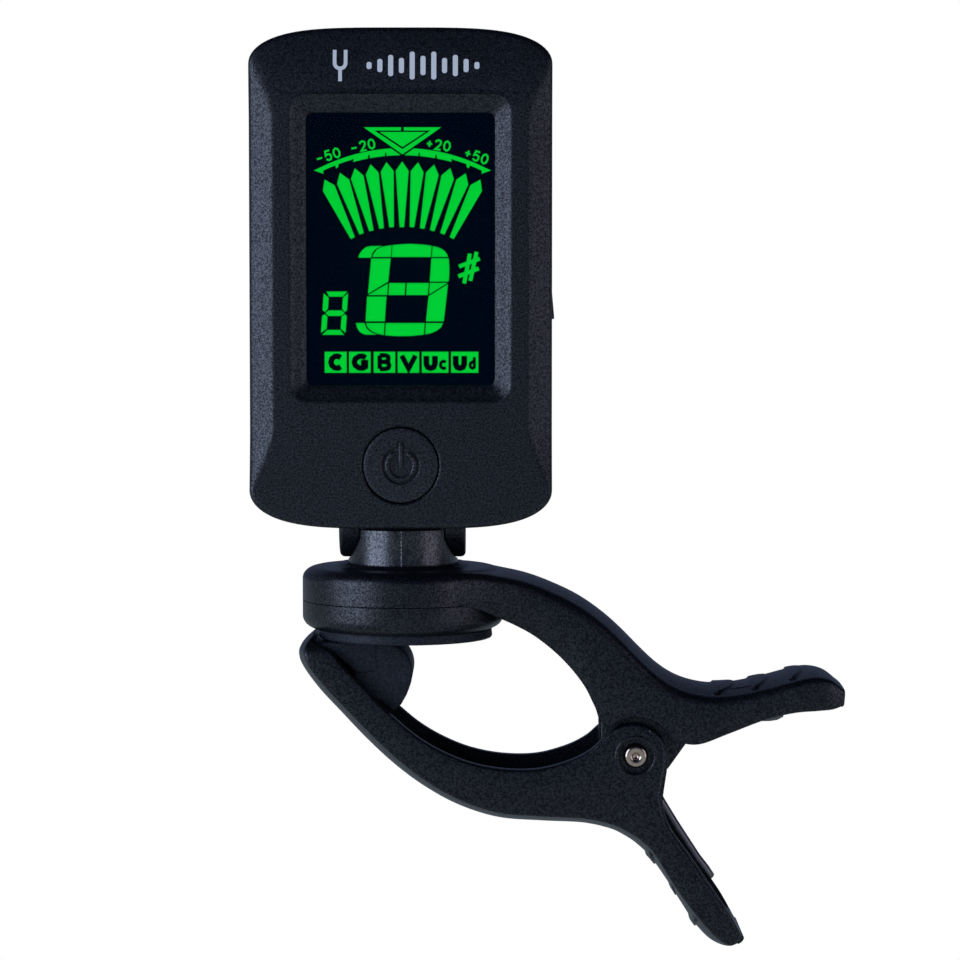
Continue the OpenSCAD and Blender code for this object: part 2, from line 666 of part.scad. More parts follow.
module upper_arm() {
  inner_ear_r = 3.4;
  round_z = collar_top - 0.9;   // start of the collar's rounded edge
  color(black) difference() {
    union() {
      difference() {
        arm_solid(upper_rows);
        // channel between the side walls, open towards the jaw and the lower handle
        arm_solid(rows_between(upper_rows, 4, 17), web_t, arm_wall + 0.15, 3);
      }
      // collar
      rod_z(collar_r - 0.05, [collar_bottom, round_z], 160);
      translate([0, 0, round_z]) rotate_extrude($fn = 160) polygon(concat([[0, 0]],
        [for (a = [0 : 15 : 90]) [collar_r - 0.95 + 0.9 * cos(a), 0.9 * sin(a)]], [[0, 0.9]]));
      // bead round the post
      rotate_extrude($fn = 128) polygon([
        [5.7, collar_top - 1], [6.75, collar_top - 1], [6.7, collar_top + 0.12],
        [6.45, collar_top + 0.3], [5.9, collar_top + 0.3], [5.7, collar_top + 0.2]]);
      for (side = [-1, 1]) {
        // inner ears on the pivot
        slab_y(beside(side, 3.3, 4.7)) polygon(concat(
          [[20.15, -6.6], [20.15, pivot_z]],
          [for (a = [180 : 15 : 330]) pivot + inner_ear_r * [cos(a), sin(a)]],
          [[28.5, -10.0], [29.2, -8.0], [24, -5.2]]));
        // ribs that tie the ears to the side walls
        slab_y(beside(side, 4.5, 5.2)) polygon([
          [20.4, -6.2], [20.6, -7.9], [22.1, -7.3], [25, -7.2], [27.4, -8.6],
          [28.8, -9.5], [29, -7.5], [26, -5.4], [23, -4.2]]);
      }
      grip_ridges(rows_between(upper_rows, 11, 18),
        [[32.85, -4.72, 1.5], [36.5, -4.2, 11.5], [40.15, -3.37, 11]]);
      // spring seat along the handle
      slab_y([-3.25, -1.8]) polygon([
        [31, -5.3], [31, -7.9], [36, -7.38], [38.6, -6.8], [40.2, -6.2], [40.2, -3.9]]);
    }
    // room for the lower arm's ears
    for (side = [-1, 1]) at_pivot(3.9, beside(side, 4.7, 7));
    at_pivot(pin_r + 0.02, across(8), 64);
    // room for the pad seat below the collar
    rod_z(collar_r + 0.05, [0, collar_bottom], 160);
    // post recess, neck bore, washer recess
    rod_z(post_r + 0.1, [6.85, 9], 128);
    rod_z(neck_r + 0.05, [3, 8], 96);
    rod_z(5.2, [3, 4.9], 96);
    // pilot holes for the pad seat's screws
    for (x = across(pad_screw_x)) rod_z(0.55, [3, 5.8], 32, [x, 0]);
  }
}

// ---------- fixed jaw pad ----------
module pad_seat() {
  color(black) difference() {
    // profile: radius, z
    rotate_extrude($fn = 160) polygon([
      [0, seat_bottom], [8.95, seat_bottom], [9.5, 1.15], [9.95, 1.5],
      [10.2, 2.0], [10.25, 2.5], [10.25, 3.85], [0, 3.85]]);
    rod_z(5.4, [2.4, 5], 96);
    for (x = across(pad_screw_x)) {
      rod_z(0.75, [0, 5], 32, [x, 0]);
      rod_z(1.3, [0, 1.9], 32, [x, 0]);
    }
  }
}
module pad_seat_screws() {
  color(steel) for (x = across(pad_screw_x)) difference() {
    union() {
      rod_z(0.5, [1.1, 5.6], 32, [x, 0]);
      rod_z(1.15, [1.0, 1.88], 32, [x, 0]);
    }
    translate([x, 0, 0]) cross_slot(0.15, 0.7, [0.5, 1.4]);
  }
}
module upper_pad() {
  pad_top = seat_bottom - 0.02;
  color(rubber_black) rotate_extrude($fn = 160) polygon([
    [0, 0], [pad_r - 0.15, 0], [pad_r, 0.15], [pad_r - 0.08, pad_top], [0, pad_top]]);
}

// ---------- pivot and spring ----------
module pivot_pin() {
  color(steel) difference() {
    union() {
      at_pivot(pin_r, [-5.55, 5.75], 64);
      // domed front end
      intersection() {
        translate([pivot_x, -4.3, pivot_z]) sphere(r = 1.75, $fn = 64);
        at_pivot(pin_r - 0.02, [-7, -5.5], 64);
      }
    }
    at_pivot(0.42, [-7, -5.75], 32);
  }
}
module pivot_retainer() {
  color(steel) difference() {
    at_pivot(1.72, [5.32, 5.62], 64);
    at_pivot(pin_r + 0.03, [5, 6], 64);
  }
}

// round tube through points, with frames turned as little as possible
function unit(v) = v / norm(v);
function tangents(path) = let (last = len(path) - 1)
  [for (i = [0 : last]) unit(path[min(i + 1, last)] - path[max(i - 1, 0)])];
function carry(along, normal, i = 0) = i >= len(along) ? [] :
  let (next = unit(normal - (normal * along[i]) * along[i]))
  concat([next], carry(along, next, i + 1));
module sweep_wire(path, r, sides) {
  along = tangents(path);
  normals = carry(along, [0, 1, 0.01]);
  loft([for (i = [0 : len(path) - 1]) let (binormal = cross(along[i], normals[i]))
    [for (k = [0 : sides - 1]) let (a = -360 * k / sides)
      path[i] + r * (cos(a) * normals[i] + sin(a) * binormal)]]);
}

// coil on the pin, one leg per handle
module torsion_spring() {
  coil_r = 2.0;
  coil_hw = 2.55;
  steps = round((spring_turns + 0.36) * 16);   // 16 steps a turn
  // legs: x, z
  upper_leg = [
    [38.4, -7.6], [37.3, -7.95], [36.0, -8.17], [32.0, -8.59], [28.0, -9.01], [24.8, -9.35]];
  lower_leg = [
    [24.3, -14.55], [25.4, -15.75], [26.35, -17.2], [27.9, -19.75], [29.6, -22.4],
    [31.48, -25.2]];
  path = concat(
    [for (p = upper_leg) [p[0], -coil_hw, p[1]]],
    [for (k = [0 : steps]) let (a = 97 + 360 * k / 16)
      [pivot_x + coil_r * cos(a), -coil_hw + 2 * coil_hw * k / steps, pivot_z + coil_r * sin(a)]],
    [for (p = lower_leg) [p[0], coil_hw, p[1]]]);
  color(steel) sweep_wire(path, wire_d / 2, 8);
}

// ---------- lower arm and its pad ----------
module lower_arm() {
  color(black) difference() {
    union() {
      difference() {
        arm_solid(turned(lower_rows));
        // channel between the side walls, open towards the jaw and the upper handle
        arm_solid(turned(rows_between(lower_rows, 3, 20)), web_t, arm_wall, 3);
      }
      // outer ears
      for (side = [-1, 1]) at_pivot(outer_ear_r, beside(side, arm_hw - 1.1, arm_hw + 0.02));
      // seat block for the jaw pad
      difference() {
        slab_y(across(4.95)) polygon([[-7.75, -4.3], [-5.85, -3.85], [-1.8, -8.3], [-3.1, -9.4]]);
        slab_y(across(3.55)) polygon([[-6.55, -4.15], [-4.3, -2.3], [-0.9, -6.0], [-3.15, -8.0]]);
      }
      grip_ridges(turned(rows_between(lower_rows, 13, 22)),
        [[25.55, -22.9, -54], [27.8, -26.15, -60], [29.65, -29.2, -57]]);
      // spring seat along the handle
      slab_y(seat_y) polygon([
        [26.6, -22.8], [26.85, -20.65], [27.9, -21.2], [31.6, -26.8], [31.6, -29.6]]);
    }
    at_pivot(pin_r + 0.04, across(8), 64);
    // recesses round the pin ends
    for (side = [-1, 1]) at_pivot(1.8, beside(side, 5.3, 7), 64);
  }
}
module lower_pad() {
  nose = [-2.0, -3.16];      // x, z
  color(rubber_black) difference() {
    union() {
      rod_y(3.08, nose, across(4.2), 96);
      slab_y(across(3.5)) polygon([[-6.45, -4.2], [-4.25, -2.35], [-1.0, -5.95], [-3.1, -7.85]]);
      // lip that fills the gap up to the arm's tip
      slab_y(across(3.6)) polygon([
        [-8.2, -0.45], [-7.9, -0.2], [-2.6, -0.2], [-2.6, -3.0],
        [-4.5, -3.3], [-5.5, -2.2], [-6.9, -1.2]]);
    }
    // shallow grip grooves across the nose
    for (a = [5, 30, 55]) rod_y(0.25, nose + 3.2 * [sin(a), cos(a)], across(5), 20);
  }
}

front_shell();
rear_shell();
battery_door();
display_lens();
lcd_panel();
segment_film();
backlight_panel();
elastomer_strip();
circuit_board();
board_components();
tact_switch();
switch_plunger();
power_button();
front_emblem();
piezo_disc();
piezo_ceramic();
piezo_leads();
coin_cell();
battery_contact_positive();
battery_contact_negative();
case_screws();
hinge_pin();
swivel_post();
wave_washer();
swivel_washer();
swivel_screw();
upper_arm();
pad_seat();
pad_seat_screws();
upper_pad();
pivot_pin();
pivot_retainer();
torsion_spring();
lower_arm();
lower_pad();
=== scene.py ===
import json
import math

import bmesh
import bpy
import numpy as np
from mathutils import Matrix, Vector


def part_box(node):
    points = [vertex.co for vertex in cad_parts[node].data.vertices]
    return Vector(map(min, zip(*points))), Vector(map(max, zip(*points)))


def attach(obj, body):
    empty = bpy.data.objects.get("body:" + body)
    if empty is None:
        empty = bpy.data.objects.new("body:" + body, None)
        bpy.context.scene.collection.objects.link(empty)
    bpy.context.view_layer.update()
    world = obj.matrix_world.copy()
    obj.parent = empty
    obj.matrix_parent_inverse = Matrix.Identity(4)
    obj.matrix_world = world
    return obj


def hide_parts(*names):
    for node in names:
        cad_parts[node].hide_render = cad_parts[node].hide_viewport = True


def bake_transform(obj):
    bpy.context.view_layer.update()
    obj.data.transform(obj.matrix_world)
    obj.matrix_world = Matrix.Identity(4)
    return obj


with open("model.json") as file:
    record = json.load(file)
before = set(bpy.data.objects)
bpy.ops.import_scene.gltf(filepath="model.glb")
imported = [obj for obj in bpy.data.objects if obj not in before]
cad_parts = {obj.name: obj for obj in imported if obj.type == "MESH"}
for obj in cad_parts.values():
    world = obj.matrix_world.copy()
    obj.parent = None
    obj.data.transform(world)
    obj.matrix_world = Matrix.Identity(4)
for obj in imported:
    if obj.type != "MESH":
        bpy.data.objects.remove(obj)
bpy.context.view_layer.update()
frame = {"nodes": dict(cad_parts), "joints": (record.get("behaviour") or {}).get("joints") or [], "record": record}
MM = 0.001
NODES = frame["nodes"]
JOINTS = {joint["name"]: joint for joint in frame["joints"]}


def mm_box(node):
    low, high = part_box(node)
    return [c / MM for c in low], [c / MM for c in high]


# ------------------------------------------------------------------ sizes from the frame, in mm
SHELL_LOW, SHELL_HIGH = mm_box("front_shell")
HEAD_HALF = (SHELL_HIGH[0] - SHELL_LOW[0]) / 2
BOTTOM, TOP = SHELL_LOW[2], SHELL_HIGH[2]
FACE_Y, SPLIT_Y = SHELL_LOW[1], SHELL_HIGH[1]
DOOR_LOW, DOOR_HIGH = mm_box("battery_door")
REAR_Y, DOOR_Z = DOOR_HIGH[1], DOOR_LOW[2]
CELL_LOW, CELL_HIGH = mm_box("coin_cell")
CELL_Z = (CELL_LOW[2] + CELL_HIGH[2]) / 2
LENS_LOW, LENS_HIGH = mm_box("display_lens")
WINDOW_Z = (LENS_LOW[2] + LENS_HIGH[2]) / 2
FILM_Y = mm_box("segment_film")[0][1]
BUTTON_LOW, BUTTON_HIGH = mm_box("power_button")
BUTTON_Z = (BUTTON_LOW[2] + BUTTON_HIGH[2]) / 2
HINGE_LOW, HINGE_HIGH = mm_box("hinge_pin")
HINGE_HOLE_R = (HINGE_HIGH[1] - HINGE_LOW[1]) / 2 + 0.04
TILT_Z = JOINTS["head_tilt"]["pos_m"][2] / MM
PIVOT_X, _, PIVOT_Z = [c / MM for c in JOINTS["clip_open"]["pos_m"]]
SEAT_LOW, SEAT_HIGH = mm_box("pad_seat")
SEAT_Z, COLLAR_R = SEAT_LOW[2], SEAT_HIGH[0]
_, (PAD_R, _, PAD_TOP) = mm_box("upper_pad")

BUTTON_CENTRE = (0, 0, BUTTON_Z)
TILT_CENTRE = (0, 0, TILT_Z)
PIVOT = (PIVOT_X, 0, PIVOT_Z)
SIDES = (-1, 1)


# ------------------------------------------------------------------ shader helpers
def add(tree, kind, inputs=None, **settings):
    """Adds a shader node. Each input is given a value or the socket to link to it."""
    node = tree.nodes.new("ShaderNode" + kind)
    for key, value in settings.items():
        setattr(node, key, value)
    for key, value in (inputs or {}).items():
        if isinstance(value, bpy.types.NodeSocket):
            tree.links.new(value, node.inputs[key])
        else:
            node.inputs[key].default_value = value
    return node


def object_coords(tree):
    return add(tree, "TexCoord").outputs["Object"]


def noise(tree, scale, detail=2.0, rough=0.5, coords=None):
    inputs = {"Scale": scale, "Detail": detail, "Roughness": rough,
              "Vector": coords or object_coords(tree)}
    return add(tree, "TexNoise", inputs).outputs["Fac"]


def ramp(tree, value, *stops):
    """Colour ramp with two stops, each (position, colour)."""
    node = add(tree, "ValToRGB", {"Fac": value})
    for element, (position, colour) in zip(node.color_ramp.elements, stops):
        element.position, element.color = position, (*colour, 1)
    return node.outputs["Color"]


def map_range(tree, value, source, target):
    inputs = {"From Min": source[0], "From Max": source[1],
              "To Min": target[0], "To Max": target[1], "Value": value}
    return add(tree, "MapRange", inputs).outputs["Result"]


def bump_normal(tree, height, strength, distance):
    inputs = {"Strength": strength, "Distance": distance, "Height": height}
    return add(tree, "Bump", inputs).outputs["Normal"]


# ------------------------------------------------------------------ materials
MATERIALS = {}


def new_material(name):
    """Makes an empty material. Returns its node tree and its surface socket."""
    material = MATERIALS[name] = bpy.data.materials.new(name)
    material.use_nodes = True
    tree = material.node_tree
    tree.nodes.clear()
    return tree, add(tree, "OutputMaterial").inputs["Surface"]


def plastic(name, dark, light, *, rough, grain, bump, spread,
            spec=0.5, dist=0.00004, flecks=0.25):
    """Moulded plastic: grained surface, small flecks, slow change of tone.

    grain is the noise scale, bump and dist (metres) the relief, spread the swing of the
    roughness, flecks the swing of the specular level.
    """
    tree, surface = new_material(name)
    coords = object_coords(tree)
    fine = noise(tree, grain, 3.0, 0.6, coords)
    broad = noise(tree, 260, 2.0, 0.5, coords)
    colour = ramp(tree, fine, (0.36, dark), (0.7, light))
    tone = ramp(tree, broad, (0.3, (0.88, 0.88, 0.88)), (0.7, (1.08, 1.08, 1.1)))
    # mix sockets: 0 factor, 6 and 7 the two colours, output 2 the colour
    mix = add(tree, "Mix", {0: 1.0, 6: colour, 7: tone}, data_type="RGBA", blend_type="MULTIPLY")
    gloss = map_range(tree, fine, (0.3, 0.7), (rough - spread, rough + spread))
    speck = noise(tree, grain * 0.9, 1.5, 0.5, coords)
    level = map_range(tree, speck, (0.36, 0.64), (spec * (1 - flecks), spec * (1 + flecks)))
    normal = bump_normal(tree, noise(tree, grain * 0.8, 2.5, 0.6, coords), bump, dist)
    shader = add(tree, "BsdfPrincipled", {
        "Base Color": mix.outputs[2], "Roughness": gloss,
        "Specular IOR Level": level, "Normal": normal})
    tree.links.new(shader.outputs["BSDF"], surface)


def metal(name, colour, rough, streak=900, bump=0.08):
    """Bare metal. streak is the noise scale behind its tone, roughness and relief."""
    tree, surface = new_material(name)
    mapping = add(tree, "Mapping", {"Vector": object_coords(tree)})
    grain = noise(tree, streak, 4.0, 0.6, mapping.outputs["Vector"])
    shader = add(tree, "BsdfPrincipled", {
        "Metallic": 1.0,
        "Base Color": ramp(tree, grain, (0.3, tuple(c * 0.82 for c in colour)), (0.7, colour)),
        "Roughness": map_range(tree, grain, (0.3, 0.7), (rough * 0.7, rough * 1.35)),
        "Normal": bump_normal(tree, grain, bump, 0.00003)})
    tree.links.new(shader.outputs["BSDF"], surface)


def lit(name, colour, strength=1.0, cells=2500):
    """Even glow with a very faint mottle. cells is the noise scale."""
    tree, surface = new_material(name)
    mottle = noise(tree, cells)
    tint = ramp(tree, mottle, (0.2, tuple(c * 0.94 for c in colour)), (0.8, colour))
    shader = add(tree, "Emission", {"Color": tint, "Strength": strength})
    tree.links.new(shader.outputs["Emission"], surface)


def clear_lens(name):
    """Clear window: see-through, with a weak reflection that grows at a glancing angle."""
    tree, surface = new_material(name)
    clear = add(tree, "BsdfTransparent")
    haze = map_range(tree, noise(tree, 900), (0.3, 0.7), (0.03, 0.06))
    gloss = add(tree, "BsdfGlossy", {"Roughness": haze})
    fresnel = add(tree, "Fresnel", {"IOR": 1.3})
    mix = add(tree, "MixShader", {
        "Fac": map_range(tree, fresnel.outputs["Fac"], (0.0, 1.0), (0.0, 0.12)),
        1: clear.outputs["BSDF"], 2: gloss.outputs["BSDF"]})
    tree.links.new(mix.outputs["Shader"], surface)


plastic("shell_black", (0.0003, 0.0006, 0.0016), (0.012, 0.015, 0.024), rough=0.42, grain=6300,
        bump=0.7, spread=0.12, spec=0.55, dist=0.000035, flecks=0.6)
plastic("clip_black", (0.0003, 0.0005, 0.0013), (0.010, 0.012, 0.019), rough=0.38, grain=6000,
        bump=0.65, spread=0.12, spec=0.5, dist=0.000035, flecks=0.6)
plastic("post_black", (0.0003, 0.0005, 0.0013), (0.010, 0.012, 0.019), rough=0.31, grain=6000,
        bump=0.5, spread=0.08, spec=1.0, dist=0.00003, flecks=0.5)
plastic("button_black", (0.0006, 0.0009, 0.002), (0.018, 0.021, 0.031), rough=0.44, grain=6300,
        bump=0.7, spread=0.12, spec=0.6, dist=0.000035, flecks=0.6)
plastic("pad_rubber", (0.003, 0.004, 0.007), (0.026, 0.033, 0.05), rough=0.6, grain=6000,
        bump=0.6, spread=0.08, spec=0.4, flecks=0.4)
lit("lcd_dark", (0.0, 0.0016, 0.0062), cells=1200)
lit("segment_green", (0.0, 0.61, 0.034))
lit("letter_dark", (0.0, 0.0012, 0.0045), cells=1200)
plastic("light_guide", (0.62, 0.68, 0.64), (0.75, 0.8, 0.76),
        rough=0.3, grain=1500, bump=0.05, spread=0.05)
plastic("zebra_rubber", (0.45, 0.22, 0.22), (0.7, 0.45, 0.42),
        rough=0.6, grain=3500, bump=0.2, spread=0.05)
plastic("board_green", (0.012, 0.09, 0.03), (0.025, 0.16, 0.055),
        rough=0.3, grain=1600, bump=0.15, spread=0.08)
plastic("chip_black", (0.008, 0.008, 0.008), (0.02, 0.02, 0.02),
        rough=0.35, grain=3000, bump=0.15, spread=0.08)
plastic("plunger_cream", (0.6, 0.56, 0.45), (0.72, 0.68, 0.56),
        rough=0.45, grain=3000, bump=0.1, spread=0.05)
# The emblem's pale blue is its printed ink, but it is drawn as a glow: painted light standing in for the light the
# ink would catch.
lit("print_pale_blue", (0.40, 0.47, 0.62), strength=0.9, cells=5200)
plastic("ceramic_white", (0.7, 0.68, 0.62), (0.85, 0.83, 0.78),
        rough=0.5, grain=2600, bump=0.1, spread=0.05)
plastic("lead_insulation", (0.4, 0.03, 0.02), (0.55, 0.06, 0.04),
        rough=0.45, grain=2500, bump=0.1, spread=0.05)
metal("brass", (0.78, 0.56, 0.22), rough=0.3)
metal("switch_metal", (0.55, 0.55, 0.57), rough=0.35)
metal("cell_steel", (0.72, 0.72, 0.74), rough=0.28, streak=700)
metal("contact_nickel", (0.78, 0.76, 0.7), rough=0.2)
metal("screw_steel", (0.5, 0.5, 0.52), rough=0.3)
metal("pin_steel", (0.74, 0.56, 0.44), rough=0.16, streak=1800, bump=0.12)
metal("washer_steel", (0.6, 0.6, 0.6), rough=0.3)
metal("spring_steel", (0.20, 0.20, 0.205), rough=0.34, streak=2000, bump=0.05)
clear_lens("lens_clear")


# ------------------------------------------------------------------ flat outlines
def arc(x, y, radius, start, end, count):
    """Points round a centre, angles in degrees, both ends included."""
    turns = [math.radians(start + (end - start) * i / count) for i in range(count + 1)]
    return [(x + radius * math.cos(t), y + radius * math.sin(t)) for t in turns]


def fillet(points, radii, seg=5):
    """A closed polygon with rounded corners. radii is one radius, or a list with one each."""
    out, count = [], len(points)
    for i in range(count):
        corner = np.array(points[i], float)
        radius = radii[i] if isinstance(radii, list) else radii
        if radius <= 0:
            out.append(tuple(corner))
            continue
        before = np.array(points[i - 1], float) - corner
        after = np.array(points[(i + 1) % count], float) - corner
        len_before, len_after = np.linalg.norm(before), np.linalg.norm(after)
        before, after = before / len_before, after / len_after
        half = math.acos(max(-1, min(1, float(before @ after)))) / 2
        if half > math.pi / 2 - 0.02:  # nearly straight
            out.append(tuple(corner))
            continue
        reach = min(radius / math.tan(half), len_before * 0.49, len_after * 0.49)
        radius = reach * math.tan(half)
        bisector = (before + after) / np.linalg.norm(before + after)
        centre = corner + bisector * (radius / math.sin(half))
        first, last = corner + before * reach - centre, corner + after * reach - centre
        start = math.atan2(first[1], first[0])
        sweep = math.atan2(last[1], last[0]) - start
        sweep = (sweep + math.pi) % (2 * math.pi) - math.pi
        for k in range(seg + 1):
            turn = start + sweep * k / seg
            out.append((float(centre[0] + radius * math.cos(turn)),
                        float(centre[1] + radius * math.sin(turn))))
    return out


def inset(poly, margin):
    """Counter-clockwise polygon moved inwards."""
    out, count = [], len(poly)
    for i in range(count):
        before, point, after = (np.array(poly[(i + k) % count], float) for k in (-1, 0, 1))
        edge0, edge1 = point - before, after - point
        normal0, normal1 = np.array([-edge0[1], edge0[0]]), np.array([-edge1[1], edge1[0]])
        len0, len1 = np.linalg.norm(normal0), np.linalg.norm(normal1)
        if len0 < 1e-9 or len1 < 1e-9:  # repeated point: use the one edge that has length
            normal = (normal0 + normal1) / max(len0, len1, 1e-9)
            normal = normal / max(np.linalg.norm(normal), 1e-9)
            out.append(tuple(point + normal * margin))
            continue
        normal0, normal1 = normal0 / len0, normal1 / len1
        normal = normal0 + normal1
        normal = normal / max(np.linalg.norm(normal), 1e-9)
        out.append(tuple(point + normal * margin / max(float(normal @ normal0), 0.35)))
    return out


def ccw(poly):
    area2 = sum(poly[i - 1][0] * poly[i][1] - poly[i][0] * poly[i - 1][1]
                for i in range(len(poly)))
    return poly if area2 > 0 else poly[::-1]


def resample(poly, count):
    """Points at even spacing round a closed polygon, from its first point."""
    points = np.array(poly + [poly[0]], float)
    along = arc_lengths(points)
    stops = np.linspace(0, along[-1], count, endpoint=False)
    return [(float(np.interp(s, along, points[:, 0])), float(np.interp(s, along, points[:, 1])))
            for s in stops]


def arc_lengths(points):
    return np.concatenate([[0], np.cumsum(np.linalg.norm(np.diff(points, axis=0), axis=1))])


# ------------------------------------------------------------------ solids: (vertices, faces)
def place(point, height, axis):
    """A flat point set at a height along the axis."""
    across, up = point
    return {"x": (height, across, up), "y": (across, height, up), "z": (across, up, height)}[axis]


def grid_faces(rows, count, wrap_rows):
    faces = []
    for i in range(rows if wrap_rows else rows - 1):
        this, following = i * count, (i + 1) % rows * count
        for k in range(count):
            j = (k + 1) % count
            faces.append((this + k, this + j, following + j, following + k))
    return faces


def loft(rings, torus=False):
    """Closed solid through rings of equal length, capped or joined end to end."""
    count, rows = len(rings[0]), len(rings)
    faces = grid_faces(rows, count, torus)
    if not torus:
        faces.append(tuple(range(count - 1, -1, -1)))
        faces.append(tuple((rows - 1) * count + k for k in range(count)))
    return [p for ring in rings for p in ring], faces


def join(*parts):
    verts, faces = [], []
    for part_verts, part_faces in parts:
        base = len(verts)
        verts += part_verts
        faces += [tuple(base + i for i in face) for face in part_faces]
    return verts, faces


def prism(poly, start, end, axis="y", start_round=0.0, end_round=0.0, seg=4):
    """Prism along an axis, with its end edges rounded."""
    poly = ccw(poly)

    def level(margin, height):
        ring = inset(poly, margin) if margin else poly
        return [place(p, height, axis) for p in ring]

    turns = [math.pi / 2 * k / seg for k in range(seg + 1)]
    rings = []
    if start_round > 0:
        for turn in turns[:-1]:
            rings.append(level(start_round * (1 - math.sin(turn)),
                               start + start_round - start_round * math.cos(turn)))
    rings.append(level(0, start + start_round))
    rings.append(level(0, end - end_round))
    if end_round > 0:
        for turn in turns[1:]:
            rings.append(level(end_round * (1 - math.cos(turn)),
                               end - end_round + end_round * math.sin(turn)))
    return loft(rings)


def box(x0, x1, y0, y1, z0, z1):
    return prism([(x0, z0), (x1, z0), (x1, z1), (x0, z1)], y0, y1)


def revolve(profile, count=128, centre=(0, 0, 0), axis="z", wobble=None):
    """Solid of revolution from (radius, height) points.

    A profile that starts and ends on the axis is capped there, any other is a closed loop.
    """
    capped = abs(profile[0][0]) < 1e-6 and abs(profile[-1][0]) < 1e-6
    body = profile[1:-1] if capped else profile
    verts = []
    for radius, height in body:
        for k in range(count):
            turn = 2 * math.pi * k / count
            reach = radius + (wobble(turn, height) if wobble else 0)
            verts.append(place((reach * math.cos(turn), reach * math.sin(turn)), height, axis))
    faces = grid_faces(len(body), count, not capped)
    if capped:
        for height, row in ((profile[0][1], 0), (profile[-1][1], len(body) - 1)):
            verts.append(place((0, 0), height, axis))
            for k in range(count):
                faces.append((len(verts) - 1, row * count + k, row * count + (k + 1) % count))
    return [tuple(p[i] + centre[i] for i in range(3)) for p in verts], faces


def rod(radius, start, end, centre, axis, count):
    return revolve([(0, start), (radius, start), (radius, end), (0, end)], count, centre, axis)


def tube(path, radius, sides=14):
    """Round tube along a path, drawn in at both ends."""
    points = [np.array(p, float) for p in path]
    last = len(points) - 1
    scale = [0.55, 0.86] + [1.0] * (len(points) - 4) + [0.86, 0.55]
    out = np.array([0, 1, 0.01])
    rings = []
    for i, point in enumerate(points):
        tangent = points[min(i + 1, last)] - points[max(i - 1, 0)]
        tangent = tangent / np.linalg.norm(tangent)
        out = out - (out @ tangent) * tangent
        out = out / np.linalg.norm(out)
        side = np.cross(tangent, out)
        turns = [2 * math.pi * k / sides for k in range(sides)]
        rings.append([tuple(point + radius * scale[i] * (math.cos(t) * out + math.sin(t) * side))
                      for t in turns])
    return loft(rings)


def span(side, near, far):
    """An interval on one side of zero, in rising order."""
    return sorted((side * near, side * far))


# ------------------------------------------------------------------ mesh objects
def finish_mesh(mesh, angle):
    mesh.validate()
    edit = bmesh.new()
    edit.from_mesh(mesh)
    bmesh.ops.remove_doubles(edit, verts=edit.verts, dist=1e-7)
    bmesh.ops.recalc_face_normals(edit, faces=edit.faces)
    edit.to_mesh(mesh)
    edit.free()
    mesh.shade_smooth()
    mesh.set_sharp_from_angle(angle=math.radians(angle))
    mesh.update()


def new_object(name, part, material=None, angle=34):
    verts, faces = part
    mesh = bpy.data.meshes.new(name)
    mesh.from_pydata([tuple(c * MM for c in v) for v in verts], [], faces)
    finish_mesh(mesh, angle)
    obj = bpy.data.objects.new(name, mesh)
    bpy.context.scene.collection.objects.link(obj)
    if material:
        mesh.materials.append(MATERIALS[material])
    return obj


def discard(obj):
    mesh = obj.data
    bpy.data.objects.remove(obj)
    bpy.data.meshes.remove(mesh)


def boolean(obj, part, operation="DIFFERENCE"):
    cutter = new_object("cutter", part)
    modifier = obj.modifiers.new("cut", "BOOLEAN")
    modifier.operation, modifier.object, modifier.solver = operation, cutter, "EXACT"
    graph = bpy.context.evaluated_depsgraph_get()
    mesh = bpy.data.meshes.new_from_object(obj.evaluated_get(graph))
    obj.modifiers.clear()
    old = obj.data
    obj.data = mesh
    bpy.data.meshes.remove(old)
    discard(cutter)


def absorb(obj, other):
    """Moves another object's mesh into this one."""
    edit = bmesh.new()
    edit.from_mesh(obj.data)
    edit.from_mesh(other.data)
    edit.to_mesh(obj.data)
    edit.free()
    discard(other)


def merge(obj, *parts):
    absorb(obj, new_object("extra", join(*parts)))


def set_material(mesh, material):
    mesh.materials.clear()
    mesh.materials.append(material)
    for face in mesh.polygons:
        face.material_index = 0


def polish(obj, material, angle=30):
    set_material(obj.data, MATERIALS[material])
    finish_mesh(obj.data, angle)


def register(obj, body, slot, *nodes):
    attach(obj, body)
    if nodes:
        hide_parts(*nodes)


# ------------------------------------------------------------------ head outline
HEAD_POINTS = 420


def outline(margin):
    """Head outline moved inwards, from the top centre, clockwise as seen from the front."""
    half = HEAD_HALF - margin
    top_rise, low_rise = 3.6, 3.8
    top_z, low_z = TOP - margin - top_rise, BOTTOM + margin + low_rise
    count = 160
    quarter = math.pi / 2

    def point(turn, z, rise):
        cosine = math.cos(turn)
        return half * math.copysign(math.sqrt(abs(cosine)), cosine), z + rise * math.sin(turn)

    points = [point(quarter - quarter * i / count, top_z, top_rise) for i in range(count + 1)]
    points += [point(-math.pi * i / (2 * count), low_z, low_rise) for i in range(2 * count + 1)]
    points += [point(math.pi - quarter * i / count, top_z, top_rise) for i in range(count)]
    return resample(points, HEAD_POINTS)


def window_outline(half_w, half_h, radius):
    """Rounded rectangle round the window centre, matched point for point to the outline."""
    x, z = half_w - radius, half_h - radius
    points = [(0, half_h)] + arc(x, z, radius, 90, 0, 12) + arc(x, -z, radius, 0, -90, 12)
    points += arc(-x, -z, radius, -90, -180, 12) + arc(-x, z, radius, 180, 90, 12)
    return [(x, z + WINDOW_Z) for x, z in resample(points, HEAD_POINTS)]


